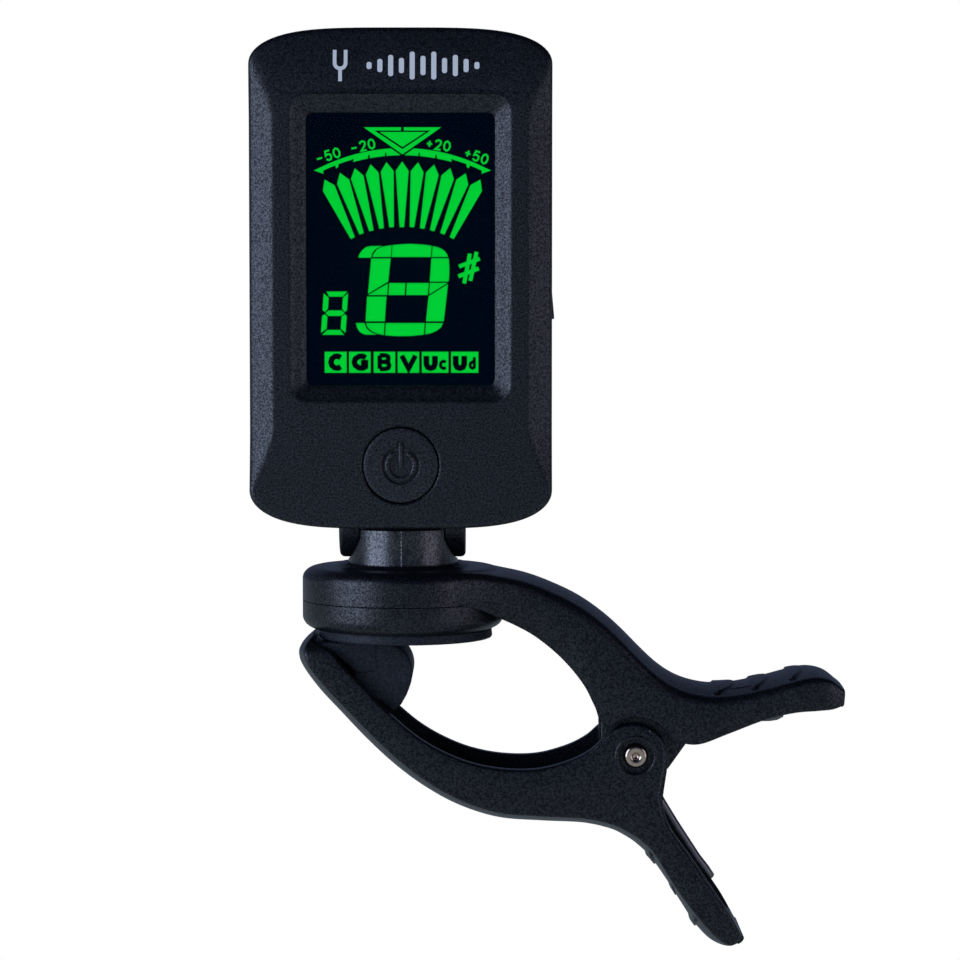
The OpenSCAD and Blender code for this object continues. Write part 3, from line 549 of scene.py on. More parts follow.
def face_depth(x, z):
    """Depth of the front face.

    Long side facets sweep out to the lower corners, and the top leans back.
    """
    low, high, lean_z = BOTTOM + 10.0, TOP - 9.2, TOP - 8.2
    facet_x, soft = 12.6, 0.10  # where the facet starts, and how softly
    if z < low:
        facet_x += 2.4 * min(((low - z) / 6.4) ** 1.4, 2.0)
    if z > high:
        rise = (z - high) / 6.2
        facet_x += 2.4 * min(rise ** 1.5, 3.0)
        soft += 0.75 * min(rise, 1.0)
    past = abs(x) - facet_x
    facet = 0.46 * (past + math.sqrt(past * past + soft * soft)) / 2
    lean = 1.25 * ((z - lean_z) / 8.2) ** 1.9 if z > lean_z else 0.0
    return FACE_Y + facet + lean


def on_face(points):
    return [(x, face_depth(x, z), z) for x, z in points]


def at_depth(points, y):
    return [(x, y, z) for x, z in points]


# ------------------------------------------------------------------ front shell
EDGE_R = 0.42  # rounding between side wall and face
FACE_MARGINS = (0.6, 0.85, 1.1, 1.35, 1.6, 1.85, 2.1, 2.28, 2.4, 2.52, 2.7, 2.95, 3.25)
BEZEL_HALF = (10.62, 14.83)
WINDOW_HALF = (9.33, 13.44)
BEZEL_LIP = 0.45
LIP_TURN = math.radians(34)
LIP_DROP = 1.05  # radius of the lip's curve in depth
WINDOW_DEPTH = 0.86
BUTTON_R = 3.70


def shell_side_rings():
    """Side wall from the joint forwards, its rounded edge, and the flat of the face."""
    base = outline(0)
    start = SPLIT_Y - 0.12
    rings = [at_depth(outline(0.12), SPLIT_Y), at_depth(base, start)]
    for part in (0.35, 0.7):
        rings.append([(x, start + (face_depth(x, z) + EDGE_R - start) * part, z)
                      for x, z in base])
    for k in range(6):
        turn = math.pi / 2 * k / 5
        rings.append([(x, face_depth(x, z) + EDGE_R * (1 - math.sin(turn)), z)
                      for x, z in outline(EDGE_R * (1 - math.cos(turn)))])
    return rings + [on_face(outline(margin)) for margin in FACE_MARGINS]


def bezel_rings():
    """Face blended into the bezel, its rounded lip, and the slope down to the window."""
    half_w, half_h = BEZEL_HALF
    outer = np.array(outline(FACE_MARGINS[-1]))
    lip = np.array(window_outline(half_w + BEZEL_LIP, half_h + BEZEL_LIP, 1.9))
    rings = [on_face([tuple(p) for p in outer + (lip - outer) * part])
             for part in (0.2, 0.4, 0.6, 0.8, 1.0)]
    for k in range(1, 6):
        turn = LIP_TURN * k / 5
        step = BEZEL_LIP * 0.9 * math.sin(turn) / math.sin(LIP_TURN)
        ring = window_outline(half_w + BEZEL_LIP - step, half_h + BEZEL_LIP - step,
                              1.9 - step * 0.8)
        rings.append(at_depth(ring, FACE_Y + LIP_DROP * (1 - math.cos(turn))))
    slope_y = FACE_Y + LIP_DROP * (1 - math.cos(LIP_TURN))
    window_y = FACE_Y + WINDOW_DEPTH
    top = np.array(window_outline(half_w + 0.045, half_h + 0.045, 1.6))
    low = np.array(window_outline(WINDOW_HALF[0] + 0.1, WINDOW_HALF[1] + 0.1, 0.72))
    for part in (0.3, 0.65, 1.0):
        rings.append(at_depth(top + (low - top) * part,
                              slope_y + (window_y - 0.1 - slope_y) * part))
    return rings


def shell_inner_rings():
    """Window edge and the inside of the shell, back to the joint."""
    window_y = FACE_Y + WINDOW_DEPTH
    window, inner = window_outline(*WINDOW_HALF, 0.65), outline(1.3)
    return [at_depth(window, window_y), at_depth(window, window_y + 0.6),
            at_depth(window_outline(10.3, 14.4, 0.8), window_y + 0.62),
            at_depth(outline(1.9), window_y + 0.7),
            at_depth(inner, window_y + 0.9), at_depth(inner, SPLIT_Y)]


def build_front_shell():
    rings = shell_side_rings() + bezel_rings() + shell_inner_rings()
    shell = new_object("front_shell_v", loft(rings, torus=True))
    # button well with a fine chamfer, then room for the hinge block
    well_r = BUTTON_R + 0.13
    well = [(0, -12), (4.02, -12), (4.02, FACE_Y - 0.02), (well_r, FACE_Y + 0.14),
            (well_r, -6), (0, -6)]
    boolean(shell, revolve(well, 160, BUTTON_CENTRE, "y"))
    boolean(shell, rod(6.62, -6.45, 6.45, TILT_CENTRE, "x", 128))
    polish(shell, "shell_black")
    register(shell, "head", "shell_black", "front_shell")


# ------------------------------------------------------------------ rear shell and battery door
REAR_ROUND = 1.5
NECK_GAP = 4.35  # half width of the room for the neck
HUB_HALF = 6.4
BOSSES = [(-11.2, BOTTOM + 5.2), (11.2, BOTTOM + 5.2), (-9.3, TOP - 4.6), (9.3, TOP - 4.6)]


def rear_loft(margin, start_y):
    """Head outline carried back to the rounded rear face."""
    rings = [at_depth(outline(margin), y) for y in (start_y, REAR_Y - REAR_ROUND)]
    for k in range(1, 9):
        turn = math.pi / 2 * k / 8
        rings.append(at_depth(outline(margin + REAR_ROUND * (1 - math.cos(turn))),
                              REAR_Y - REAR_ROUND + REAR_ROUND * math.sin(turn)))
    return loft(rings)


def knuckle_room():
    """Space the neck sweeps through as the head tilts."""
    profile = arc(0, TILT_Z, 5.9, -110, 68, 40) + arc(0, TILT_Z, 4.1, 78, 168, 24)
    profile += [(-4.0, TILT_Z + 1.0), (-6.7, TILT_Z + 1.0), (-6.7, TILT_Z - 6)]
    return prism(profile, -NECK_GAP, NECK_GAP, "x")


def add_hinge_block(shell):
    back = REAR_Y - 0.6
    hub = [(-6.0, BOTTOM + 0.05), (back, BOTTOM + 0.05), (back, TILT_Z + 5.6),
           (-3.2, TILT_Z + 5.6), (-6.0, TILT_Z + 2.4)]
    hub = fillet(hub, [0.3, 0.3, 0.3, 1.2, 1.2])
    boolean(shell, prism(hub, -HUB_HALF, HUB_HALF, "x", 0.25, 0.25), "UNION")
    ear = arc(0, TILT_Z, 3.7, 180, 360, 48) + [(3.7, TILT_Z + 4), (-3.7, TILT_Z + 4)]
    for side in SIDES:
        rounds = (0.12, 0.5)[::side]  # inner edge, outer edge
        boolean(shell, prism(ear, *span(side, NECK_GAP, HUB_HALF), "x", *rounds, 5), "UNION")
    boolean(shell, knuckle_room())


def build_rear_shell():
    shell = new_object("rear_shell_v", rear_loft(0.0, SPLIT_Y + 0.03))
    add_hinge_block(shell)
    # opening for the door, recess for the cell, and a pocket behind it
    boolean(shell, box(-20, 20, 1.4, 6, DOOR_Z - 0.08, TOP + 5))
    boolean(shell, rod(10.35, -1.95, 4, (0, 0, CELL_Z), "y", 128))
    boolean(shell, box(-5, 5, -1.95, 4, CELL_Z - 12.0, CELL_Z + 13.2))
    # grooves the door's rails slide in
    for side in SIDES:
        groove = [(11.75, 0.15), (13.25, 0.15), (13.25, 0.95),
                  (12.55, 0.95), (12.55, 2.0), (11.75, 2.0)]
        boolean(shell, prism([(side * x, y) for x, y in groove], DOOR_Z + 1.3, TOP + 4, "z"))
    for x, z in BOSSES:
        boolean(shell, rod(1.65, -0.4, 6, (x, 0, z), "y", 48))
    for side in SIDES:
        boolean(shell, rod(HINGE_HOLE_R, -0.35, 0.35, (side * 6.25, 0, TILT_Z), "x", 48))
    # thrust faces against the neck
    thrust = [(1.3, 4.21), (3.5, 4.21), (3.6, 4.3), (3.6, 4.5), (1.3, 4.5)]
    merge(shell, *[revolve([(r, side * h) for r, h in thrust], 96, TILT_CENTRE, "x")
                   for side in SIDES])
    polish(shell, "shell_black")
    register(shell, "head", "shell_black", "rear_shell")


def build_door():
    door = new_object("battery_door_v", rear_loft(0.03, 0.9))
    boolean(door, box(-20, 20, 1.44, 6, DOOR_Z, TOP + 5), "INTERSECT")
    # five finger grooves with rounded ends, and an arrow pressed above them
    groove = [(0, -5.2), (0.2, -5.12), (0.34, -4.8), (0.34, 4.8), (0.2, 5.12), (0, 5.2)]
    for k in range(5):
        boolean(door, revolve(groove, 24, (0, REAR_Y + 0.12, DOOR_Z + 4 + k * 1.3), "x"))
    arrow = [(-1.3, DOOR_Z + 11.1), (1.3, DOOR_Z + 11.1), (0, DOOR_Z + 12.6)]
    boolean(door, prism(arrow, REAR_Y - 0.15, REAR_Y + 1))
    rail = [(11.85, 0.25), (13.1, 0.25), (13.1, 0.85), (12.45, 0.85), (12.45, 1.5), (11.85, 1.5)]
    parts = [prism([(side * x, y) for x, y in rail], DOOR_Z + 1.5, DOOR_Z + 30, "z", 0.1, 0.1, 2)
             for side in SIDES]
    # thumb wedge on the +X side
    low_z, high_z = 32.4, 37.4
    wedge = [(14.5, low_z), (15.46, low_z), (15.02, high_z), (14.5, high_z)]
    wedge = fillet(wedge, [0, 0.12, 0.3, 0], 4)
    merge(door, *parts, prism(wedge, 1.5, 2.4, "y", 0.1, 0.1, 3))
    polish(door, "shell_black")
    register(door, "door", "shell_black", "battery_door")


# ------------------------------------------------------------------ window and display
def build_lens():
    low, high = LENS_LOW[2], LENS_HIGH[2]
    poly = fillet([(-10.2, low), (10.2, low), (10.2, high), (-10.2, high)], 1.2)
    part = prism(poly, LENS_LOW[1], LENS_HIGH[1], "y", 0.06, 0.02)
    register(new_object("display_lens_v", part, "lens_clear"),
             "head", "lens_clear", "display_lens")


# All display artwork below is in (x, z), with z measured from the window centre.

# triangular marker at the top: open left half, open right half, filled centre
MARKER = [
    [(-3.649, 12.046), (0.039, 12.046), (0.039, 11.726), (-2.592, 11.726), (0.182, 9.899),
     (0.182, 9.381)],
    [(0.314, 12.046), (4.014, 12.046), (0.182, 9.381), (0.182, 9.899), (2.957, 11.726),
     (0.314, 11.726)],
    [(-2.064, 11.583), (2.472, 11.583), (0.182, 10.108)],
]

# scale arc: centre, radius
ARC_X, ARC_Z, ARC_R = 0.18222, -8.2085, 18.206
# bands along the arc: outer and inner reach from its middle, upper and lower drop, points
ARC_BANDS = [
    (7.861, 4.999, 0, 0.440, 24), (4.999, 1.134, 0, 0.385, 30),
    (4.850, 3.413, 0.374, 0.705, 12), (3.237, 1.729, 0.374, 0.705, 12),
]
# polygons on the arc, as (reach from the middle, drop below the arc)
ARC_SHAPES = [
    [(1.585, 0.374), (1.431, 0.374), (1.277, 0.374), (1.134, 0.374), (0.242, 0.661),
     (0.242, 0.705), (0.573, 0.705), (0.903, 0.705), (1.255, 0.705), (1.585, 0.705)],
    [(1.134, 0), (0.242, 0.661), (1.134, 0.396)],
    [(6.672, 0.418), (6.320, 0.418), (6.364, 0.727), (6.562, 0.771)],
]
# outer corners of the arc's tail, as (reach, z)
TAIL_TIP, TAIL_FOOT = (8.764, 7.796), (7.817, 7.465)

# figures on the scale: text, centre, turn in degrees
FIGURES = [("-50", (-7.172, 9.271), 17), ("-20", (-3.737, 10.218), 12),
           ("+20", (3.727, 10.317), -8), ("+50", (7.493, 9.205), -19)]
FIGURE_W, FIGURE_H, FIGURE_GAP, FIGURE_PEN = 0.5945, 0.9248, 0.2753, 0.1806

# fan of pointers: tip and foot of each
POINTERS = [
    ((-7.525, 6.893), (-4.750, 1.124)), ((-6.005, 7.553), (-3.869, 1.542)),
    ((-4.530, 8.016), (-2.901, 1.850)), ((-2.967, 8.390), (-1.888, 2.070)),
    ((-1.403, 8.610), (-0.897, 2.203)), ((0.160, 8.676), (0.116, 2.203)),
    ((1.724, 8.588), (1.107, 2.203)), ((3.309, 8.368), (2.120, 2.070)),
    ((4.917, 8.016), (3.111, 1.850)), ((6.436, 7.509), (4.124, 1.542)),
    ((7.889, 6.893), (5.049, 1.124)),
]
POINTER_TIP, POINTER_HALF, POINTER_FOOT_HALF = 0.9248, 0.6386, 0.2202

# pieces of the large note
NOTE = [
    [(-4.200, -0.814), (-4.068, -0.418), (-3.803, -0.065), (-3.451, 0.221), (-2.967, 0.331),
     (-1.866, 0.353), (-2.438, 0.067), (-2.790, -0.286), (-2.945, -0.814)],
    [(-2.790, -0.748), (-2.680, -0.418), (-2.372, -0.021), (-1.910, 0.243), (-1.381, 0.353),
     (-0.897, 0.419), (-0.985, -0.748)],
    [(-0.809, 0.419), (-0.060, 0.507), (1.041, 0.551), (2.362, 0.463), (3.067, 0.353),
     (2.979, -0.748), (-0.897, -0.748)],
    [(3.177, 0.331), (3.860, 0.155), (4.300, -0.110), (4.586, -0.462), (4.674, -0.748),
     (3.067, -0.748)],
    [(-2.923, -0.902), (-1.007, -0.902), (-1.249, -3.170), (-3.253, -4.381)],
    [(3.045, -0.880), (4.740, -0.880), (4.806, -1.629), (4.806, -2.510), (4.740, -3.170),
     (2.869, -3.170)],
    [(-3.231, -4.514), (-1.271, -3.368), (-1.359, -4.514)],
    [(-1.139, -3.324), (0.446, -3.324), (0.380, -4.514), (-1.227, -4.514)],
    [(0.601, -3.324), (2.781, -3.324), (2.670, -4.514), (0.535, -4.514)],
    [(2.891, -3.302), (4.652, -3.302), (2.803, -4.447)],
    [(-3.341, -4.668), (-1.425, -4.668), (-1.601, -7.112), (-3.495, -7.112)],
    [(2.759, -4.624), (4.674, -3.435), (4.498, -5.042), (4.256, -7.112), (2.494, -7.112)],
    [(-4.464, -7.288), (-3.627, -7.288), (-3.407, -7.817), (-3.011, -8.169), (-2.394, -8.433),
     (-3.539, -8.433), (-4.024, -8.213), (-4.310, -7.817)],
    [(-3.473, -7.288), (-1.623, -7.288), (-1.689, -8.477), (-2.372, -8.323), (-2.923, -8.059),
     (-3.297, -7.684)],
    [(-1.491, -7.288), (2.362, -7.288), (2.274, -8.433), (1.041, -8.565), (-0.280, -8.587),
     (-1.557, -8.499)],
    [(2.494, -7.288), (4.190, -7.288), (3.970, -7.728), (3.507, -8.081), (2.979, -8.301),
     (2.406, -8.411)],
]

# segments of the small octave figure, upright; it leans about its top
OCTAVE = [
    [(-7.371, -4.161), (-5.301, -4.161), (-5.741, -4.668), (-7.062, -4.668)],
    [(-7.635, -4.337), (-7.106, -4.778), (-7.106, -5.879), (-7.371, -6.187), (-7.635, -6.011)],
    [(-5.213, -4.337), (-5.213, -6.011), (-5.433, -6.187), (-5.697, -5.879), (-5.697, -4.778)],
    [(-7.327, -6.297), (-7.018, -6.033), (-5.741, -6.033), (-5.433, -6.297), (-5.741, -6.583),
     (-7.018, -6.583)],
    [(-7.635, -6.583), (-7.393, -6.407), (-7.106, -6.671), (-7.106, -7.861), (-7.635, -8.257)],
    [(-5.191, -6.583), (-5.191, -8.257), (-5.697, -7.861), (-5.697, -6.671), (-5.411, -6.407)],
    [(-7.503, -8.455), (-7.018, -7.971), (-5.763, -7.971), (-5.323, -8.455)],
]
OCTAVE_LEAN, OCTAVE_TOP = 0.072, -4.161

# strokes of the sharp sign
SHARP = [[(6.854, -0.418), (6.282, -3.368)], [(7.515, -0.242), (6.898, -3.104)],
         [(5.775, -1.695), (7.823, -0.902)], [(5.709, -2.664), (7.735, -1.871)]]
SHARP_PEN = 0.3964

# mode fields: left and right of each, then their shared top and foot
FIELDS = [(-7.569, -5.389), (-5.147, -3.011), (-2.702, -0.566), (-0.324, 1.812),
          (2.076, 4.718), (4.983, 7.691)]
FIELD_TOP, FIELD_FOOT = -10.129, -12.221

# mode capitals: letter, left, full width, pen width; then their shared top and height
CAPITALS = [("C", -7.261, 1.607, 0.5505), ("G", -4.948, 1.806, 0.5505),
            ("B", -2.416, 1.541, 0.4514), ("V", -0.1701, 1.872, 0.5065),
            ("U", 2.186, 1.541, 0.5725), ("U", 5.093, 1.541, 0.5725)]
CAPITAL_TOP, CAPITAL_H = -10.261, 1.806
# small letters: letter, left, top, width and height of the pen's path, pen width
SMALL_LETTERS = [("c", 3.904, -11.053, 0.5945, 0.7487, 0.3083),
                 ("d", 6.854, -11.142, 0.4844, 0.6386, 0.2973)]

# pen paths of each sign, as fractions of its width (from the left) and height (from the top)
GLYPHS = {
    "0": [[(0.5, 0), (0.15, 0.14), (0.0, 0.5), (0.15, 0.86), (0.5, 1), (0.85, 0.86),
           (1.0, 0.5), (0.85, 0.14)]],
    "2": [[(0.05, 0.26), (0.16, 0.08), (0.5, 0.0), (0.86, 0.1), (0.92, 0.32), (0.7, 0.58),
           (0.08, 1.0), (0.98, 1.0)]],
    "5": [[(0.9, 0.0), (0.2, 0.0), (0.1, 0.46), (0.5, 0.36), (0.88, 0.46), (0.95, 0.72),
           (0.8, 0.95), (0.42, 1.0), (0.05, 0.84)]],
    "+": [[(0.5, 0.2), (0.5, 0.84)], [(0.05, 0.52), (0.95, 0.52)]],
    "-": [[(0.0, 0.54), (0.9, 0.54)]],
    "C": [[(0.95, 0.16), (0.72, 0.03), (0.42, 0.04), (0.12, 0.24), (0.04, 0.5), (0.12, 0.76),
           (0.42, 0.96), (0.72, 0.97), (0.95, 0.84)]],
    "G": [[(0.95, 0.16), (0.72, 0.03), (0.42, 0.04), (0.12, 0.24), (0.04, 0.5), (0.12, 0.76),
           (0.42, 0.96), (0.72, 0.97), (0.92, 0.86), (0.92, 0.54), (0.56, 0.54)]],
    "B": [[(0.08, 0.0), (0.08, 1.0)],
          [(0.08, 0.0), (0.6, 0.0), (0.84, 0.1), (0.88, 0.26), (0.8, 0.42), (0.58, 0.48),
           (0.08, 0.48)],
          [(0.58, 0.48), (0.86, 0.56), (0.95, 0.74), (0.86, 0.92), (0.6, 1.0), (0.08, 1.0)]],
    "V": [[(0.0, 0.0), (0.5, 1.0), (1.0, 0.0)]],
    "U": [[(0.06, 0.0), (0.06, 0.64), (0.2, 0.9), (0.5, 0.99), (0.8, 0.9), (0.94, 0.64),
           (0.94, 0.0)]],
    "c": [[(0.95, 0.16), (0.55, 0.0), (0.12, 0.2), (0.04, 0.5), (0.12, 0.8), (0.55, 1.0),
           (0.95, 0.84)]],
    "d": [[(0.9, -0.75), (0.9, 1.0)],
          [(0.9, 0.2), (0.5, 0.0), (0.12, 0.2), (0.04, 0.5), (0.12, 0.8), (0.5, 1.0),
           (0.9, 0.82)]],
}


def stroke(path, pen, closed=False):
    """Bent stroke with mitred joints: one polygon, or a ring of quads if closed."""
    points = [np.array(p, float) for p in path]
    count = len(points)
    left, right = [], []
    for i, point in enumerate(points):
        before, after = point - points[i - 1], points[(i + 1) % count] - point
        if not closed and i == 0:
            before = after
        if not closed and i == count - 1:
            after = before
        before, after = before / np.linalg.norm(before), after / np.linalg.norm(after)
        normal0, normal1 = np.array([before[1], -before[0]]), np.array([after[1], -after[0]])
        normal = normal0 + normal1
        normal = normal / max(np.linalg.norm(normal), 1e-9)
        reach = pen / 2 / max(float(normal @ normal0), 0.45)
        left.append(tuple(point + normal * reach))
        right.append(tuple(point - normal * reach))
    if closed:
        return [[left[i], left[(i + 1) % count], right[(i + 1) % count], right[i]]
                for i in range(count)]
    return [left + right[::-1]]


def glyph(char, left, top, width, height, pen):
    polys = []
    for path in GLYPHS[char]:
        points = [(left + across * width, top - down * height) for across, down in path]
        polys += stroke(points, pen, closed=char == "0")
    return polys


def figure_polys(text, centre, angle):
    """A scale figure, turned about its centre."""
    centre_x, centre_z = centre
    pitch = FIGURE_W + FIGURE_GAP
    left = centre_x - (len(text) * pitch - FIGURE_GAP) / 2
    cosine, sine = math.cos(math.radians(angle)), math.sin(math.radians(angle))

    def turned(x, z):
        x, z = x - centre_x, z - centre_z
        return centre_x + x * cosine - z * sine, centre_z + x * sine + z * cosine

    polys = []
    for i, char in enumerate(text):
        polys += glyph(char, left + i * pitch, centre_z + FIGURE_H / 2,
                       FIGURE_W, FIGURE_H, FIGURE_PEN)
    return [[turned(x, z) for x, z in poly] for poly in polys]


def arc_polys(side):
    """One side of the scale arc: even bands, deeper blocks and the tail."""
    def point(reach, drop):
        return ARC_X + side * reach, ARC_Z + math.sqrt(ARC_R ** 2 - reach ** 2) - drop

    polys = []
    for outer, inner, upper, lower, count in ARC_BANDS:
        stops = list(np.linspace(outer, inner, count))
        polys.append([point(s, upper) for s in stops] + [point(s, lower) for s in stops[::-1]])
    polys += [[point(*p) for p in shape] for shape in ARC_SHAPES]
    tail_reach, _, upper, lower, _ = ARC_BANDS[0]
    polys.append([(ARC_X + side * TAIL_TIP[0], TAIL_TIP[1]), point(tail_reach, upper),
                  point(tail_reach, lower), (ARC_X + side * TAIL_FOOT[0], TAIL_FOOT[1])])
    return polys


def pointer_poly(tip, foot):
    tip, foot = np.array(tip), np.array(foot)
    along = (foot - tip) / np.linalg.norm(foot - tip)
    normal = np.array([along[1], -along[0]])
    shoulder = tip + along * POINTER_TIP
    wide, narrow = normal * POINTER_HALF, normal * POINTER_FOOT_HALF
    return [tuple(p) for p in (tip, shoulder + wide, foot + narrow, foot - narrow,
                               shoulder - wide)]


def display_polys():
    polys = list(MARKER)
    for side in SIDES:
        polys += arc_polys(side)
    for figure in FIGURES:
        polys += figure_polys(*figure)
    polys += [pointer_poly(*pointer) for pointer in POINTERS]
    polys += NOTE
    polys += [[(x + OCTAVE_LEAN * (z - OCTAVE_TOP), z) for x, z in poly] for poly in OCTAVE]
    for path in SHARP:
        polys += stroke(path, SHARP_PEN)
    polys += [[(left, FIELD_TOP), (right, FIELD_TOP), (right, FIELD_FOOT), (left, FIELD_FOOT)]
              for left, right in FIELDS]
    return polys


def letter_polys():
    polys = []
    for char, left, width, pen in CAPITALS:
        polys += glyph(char, left + pen / 2, CAPITAL_TOP - pen / 2,
                       width - pen, CAPITAL_H - pen, pen)
    for letter in SMALL_LETTERS:
        polys += glyph(*letter)
    return polys


def display_part(polys, near, far):
    return join(*[prism([(x, WINDOW_Z + z) for x, z in poly], near, far) for poly in polys])


def build_display():
    film = new_object("segment_film_v", display_part(display_polys(), FILM_Y, FILM_Y + 0.06),
                      "segment_green", 20)
    register(film, "head", "segment_green", "segment_film")
    letters = new_object("mode_letters",
                         display_part(letter_polys(), FILM_Y - 0.008, FILM_Y + 0.03),
                         "letter_dark", 20)
    register(letters, "head", "lcd_dark")


# ------------------------------------------------------------------ printed mark
LEVEL_BARS = (0.7, 1.3, 2.1, 1.5, 2.75, 1.9, 2.75, 1.5, 2.1, 1.3, 0.7)  # bar heights


def build_emblem():
    """A plain tuning fork and a row of level bars, printed above the window."""
    fork_x, mark_z = -5.9, TOP - 3.85
    fork = [(-0.72, 1.55), (-0.36, 1.55)] + arc(0, 0.25, 0.36, 180, 360, 8)
    fork += [(0.36, 1.55), (0.72, 1.55)] + arc(0, 0.25, 0.72, 0, -90, 6)[:-1]
    fork += [(0.18, -0.45), (0.18, -1.55), (-0.18, -1.55), (-0.18, -0.45)]
    fork += arc(0, 0.25, 0.72, -90, -180, 6)[1:]
    polys = [[(fork_x + x, mark_z + z) for x, z in fork]]
    for k, height in enumerate(LEVEL_BARS):
        x, low, high = -3.3 + k * 1.06, mark_z - height / 2, mark_z + height / 2
        polys.append(fillet([(x, low), (x + 0.5, low), (x + 0.5, high), (x, high)], 0.2, 4))
    parts = [loft([[(x, face_depth(x, z) + offset, z) for x, z in ccw(poly)]
                   for offset in (0.03, -0.05)]) for poly in polys]
    # the printed mark glows: painted light in place of the light falling on its ink
    mark = new_object("front_emblem_v", join(*parts), "print_pale_blue", 30)
    register(mark, "head", "print_pale_blue", "front_emblem")


# ------------------------------------------------------------------ power button
def build_button():
    y, back, flange_y = FACE_Y, BUTTON_HIGH[1], BUTTON_HIGH[1] - 0.42
    profile = [(0, y - 0.05), (1.2, y - 0.045), (2.4, y - 0.03), (3.2, y - 0.012),
               (BUTTON_R - 0.16, y), (BUTTON_R - 0.05, y + 0.04), (BUTTON_R, y + 0.14),
               (BUTTON_R, flange_y), (4.5, flange_y), (4.5, back), (0, back)]
    button = new_object("power_button_v", revolve(profile, 160, BUTTON_CENTRE, "y"))
    # sunk dish and slot, with a raised open ring and bar in them
    floor_y = y + 0.16
    dish = [(0, y - 1), (1.95, y - 1), (1.95, y - 0.02), (1.7, floor_y), (0, floor_y)]
    boolean(button, revolve(dish, 96, BUTTON_CENTRE, "y"))
    low, high = BUTTON_Z + 0.3, BUTTON_Z + 2.5
    notch = fillet([(-0.42, low), (0.42, low), (0.42, high), (-0.42, high)], 0.2)
    boolean(button, prism(notch, y - 1, floor_y))
    ring = [(x, y + 0.07, z) for x, z in arc(0, BUTTON_Z, 1.36, 118, 422, 60)]
    bar = [(0, y + 0.07, BUTTON_Z - 0.3 + 2.6 * k / 10) for k in range(11)]
    merge(button, tube(ring, 0.25, 16), tube(bar, 0.23, 16))
    polish(button, "button_black")
    register(button, "button", "button_black", "power_button")


# ------------------------------------------------------------------ neck
def mould_seam(turn, _height):
    """Fine raised line down the -Y side."""
    away = abs((turn - 1.5 * math.pi + math.pi) % (2 * math.pi) - math.pi)
    return 0.045 * math.exp(-(away / 0.014) ** 2)


def build_post():
    top = TILT_Z - 0.62
    profile = [(0, 4.5), (3.4, 4.5), (3.4, 6.9), (5.3, 6.9), (5.6, 7.0), (5.6, 7.5), (5.57, 7.9),
               (5.52, 8.4), (5.5, 9.2), (5.5, TILT_Z - 0.75), (5.4, top), (0, top)]
    post = new_object("swivel_post_v", revolve(profile, 360, wobble=mould_seam))
    # room for the head's ears, then the cross barrel
    ear_r = 3.87
    pocket = arc(0, TILT_Z, ear_r, 180, 270, 30)
    pocket += [(0, TILT_Z - ear_r), (8, TILT_Z - ear_r), (8, 20), (-ear_r, 20)]
    for side in SIDES:
        boolean(post, prism(pocket, *span(side, 4.2, 8), "x"))
    barrel = fillet([(0, -4.18), (3.7, -4.18), (3.7, 4.18), (0, 4.18)], [0, 0.2, 0.2, 0], 4)
    merge(post, revolve(barrel, 128, TILT_CENTRE, "x"))
    polish(post, "post_black")
    register(post, "neck", "clip_black", "swivel_post")


# ------------------------------------------------------------------ clip arms
# Stations along an arm: crown x, z, inner edge x, z, half width, sag, edge radius,
# channel depth from 0 to 1. The first stations of the upper arm leave out the half width,
# which flare() gives.
UPPER_ROOT = [
    (1.5, 7.3, 1.5, 3.9, 0.05, 1.15, 0), (3.6, 7.28, 3.6, 3.9, 0.06, 1.15, 0),
    (5.6, 7.26, 5.5, 3.88, 0.08, 1.15, 0), (7.4, 7.2, 7.0, 3.6, 0.12, 1.15, 0),
    (9.2, 7.05, 8.5, 3.1, 0.22, 1.15, 0), (12.4, 6.5, 10.8, 2.0, 0.36, 1.15, 0.55),
    (15.2, 5.52, 13.1, 0.75, 0.45, 1.15, 1),
]
UPPER_REST = [
    (17.9, 4.22, 15.2, -0.85, 6, 0.5, 1.15, 1), (20.3, 2.57, 17.0, -2.65, 6, 0.55, 1.15, 1),
    (22.3, 0.8, 18.4, -4.5, 6, 0.6, 1.12, 1), (24.2, -1.13, 19.35, -6.4, 6, 0.62, 1.1, 1),
    (25.9, -2.7, 20.4, -8.3, 6, 0.65, 1.1, 1), (27.6, -3.82, 24.2, -9.3, 6, 0.68, 1.1, 1),
    (29.4, -4.5, 27.5, -10.05, 6, 0.68, 1.1, 1), (31.5, -4.84, 29.9, -10.3, 6, 0.66, 1.05, 1),
    (34.0, -4.72, 32.9, -9.22, 6, 0.6, 0.98, 1), (36.8, -4.2, 36.4, -7.88, 6, 0.5, 0.9, 1),
    (39.4, -3.56, 39.4, -7.15, 6, 0.42, 0.82, 1), (41.4, -3.2, 41.8, -6.95, 5.9, 0.36, 0.75, 0.5),
    (43.1, -3.52, 43.3, -6.84, 5.6, 0.3, 0.65, 0), (44.4, -4.5, 44.25, -6.6, 5.1, 0.22, 0.5, 0),
]
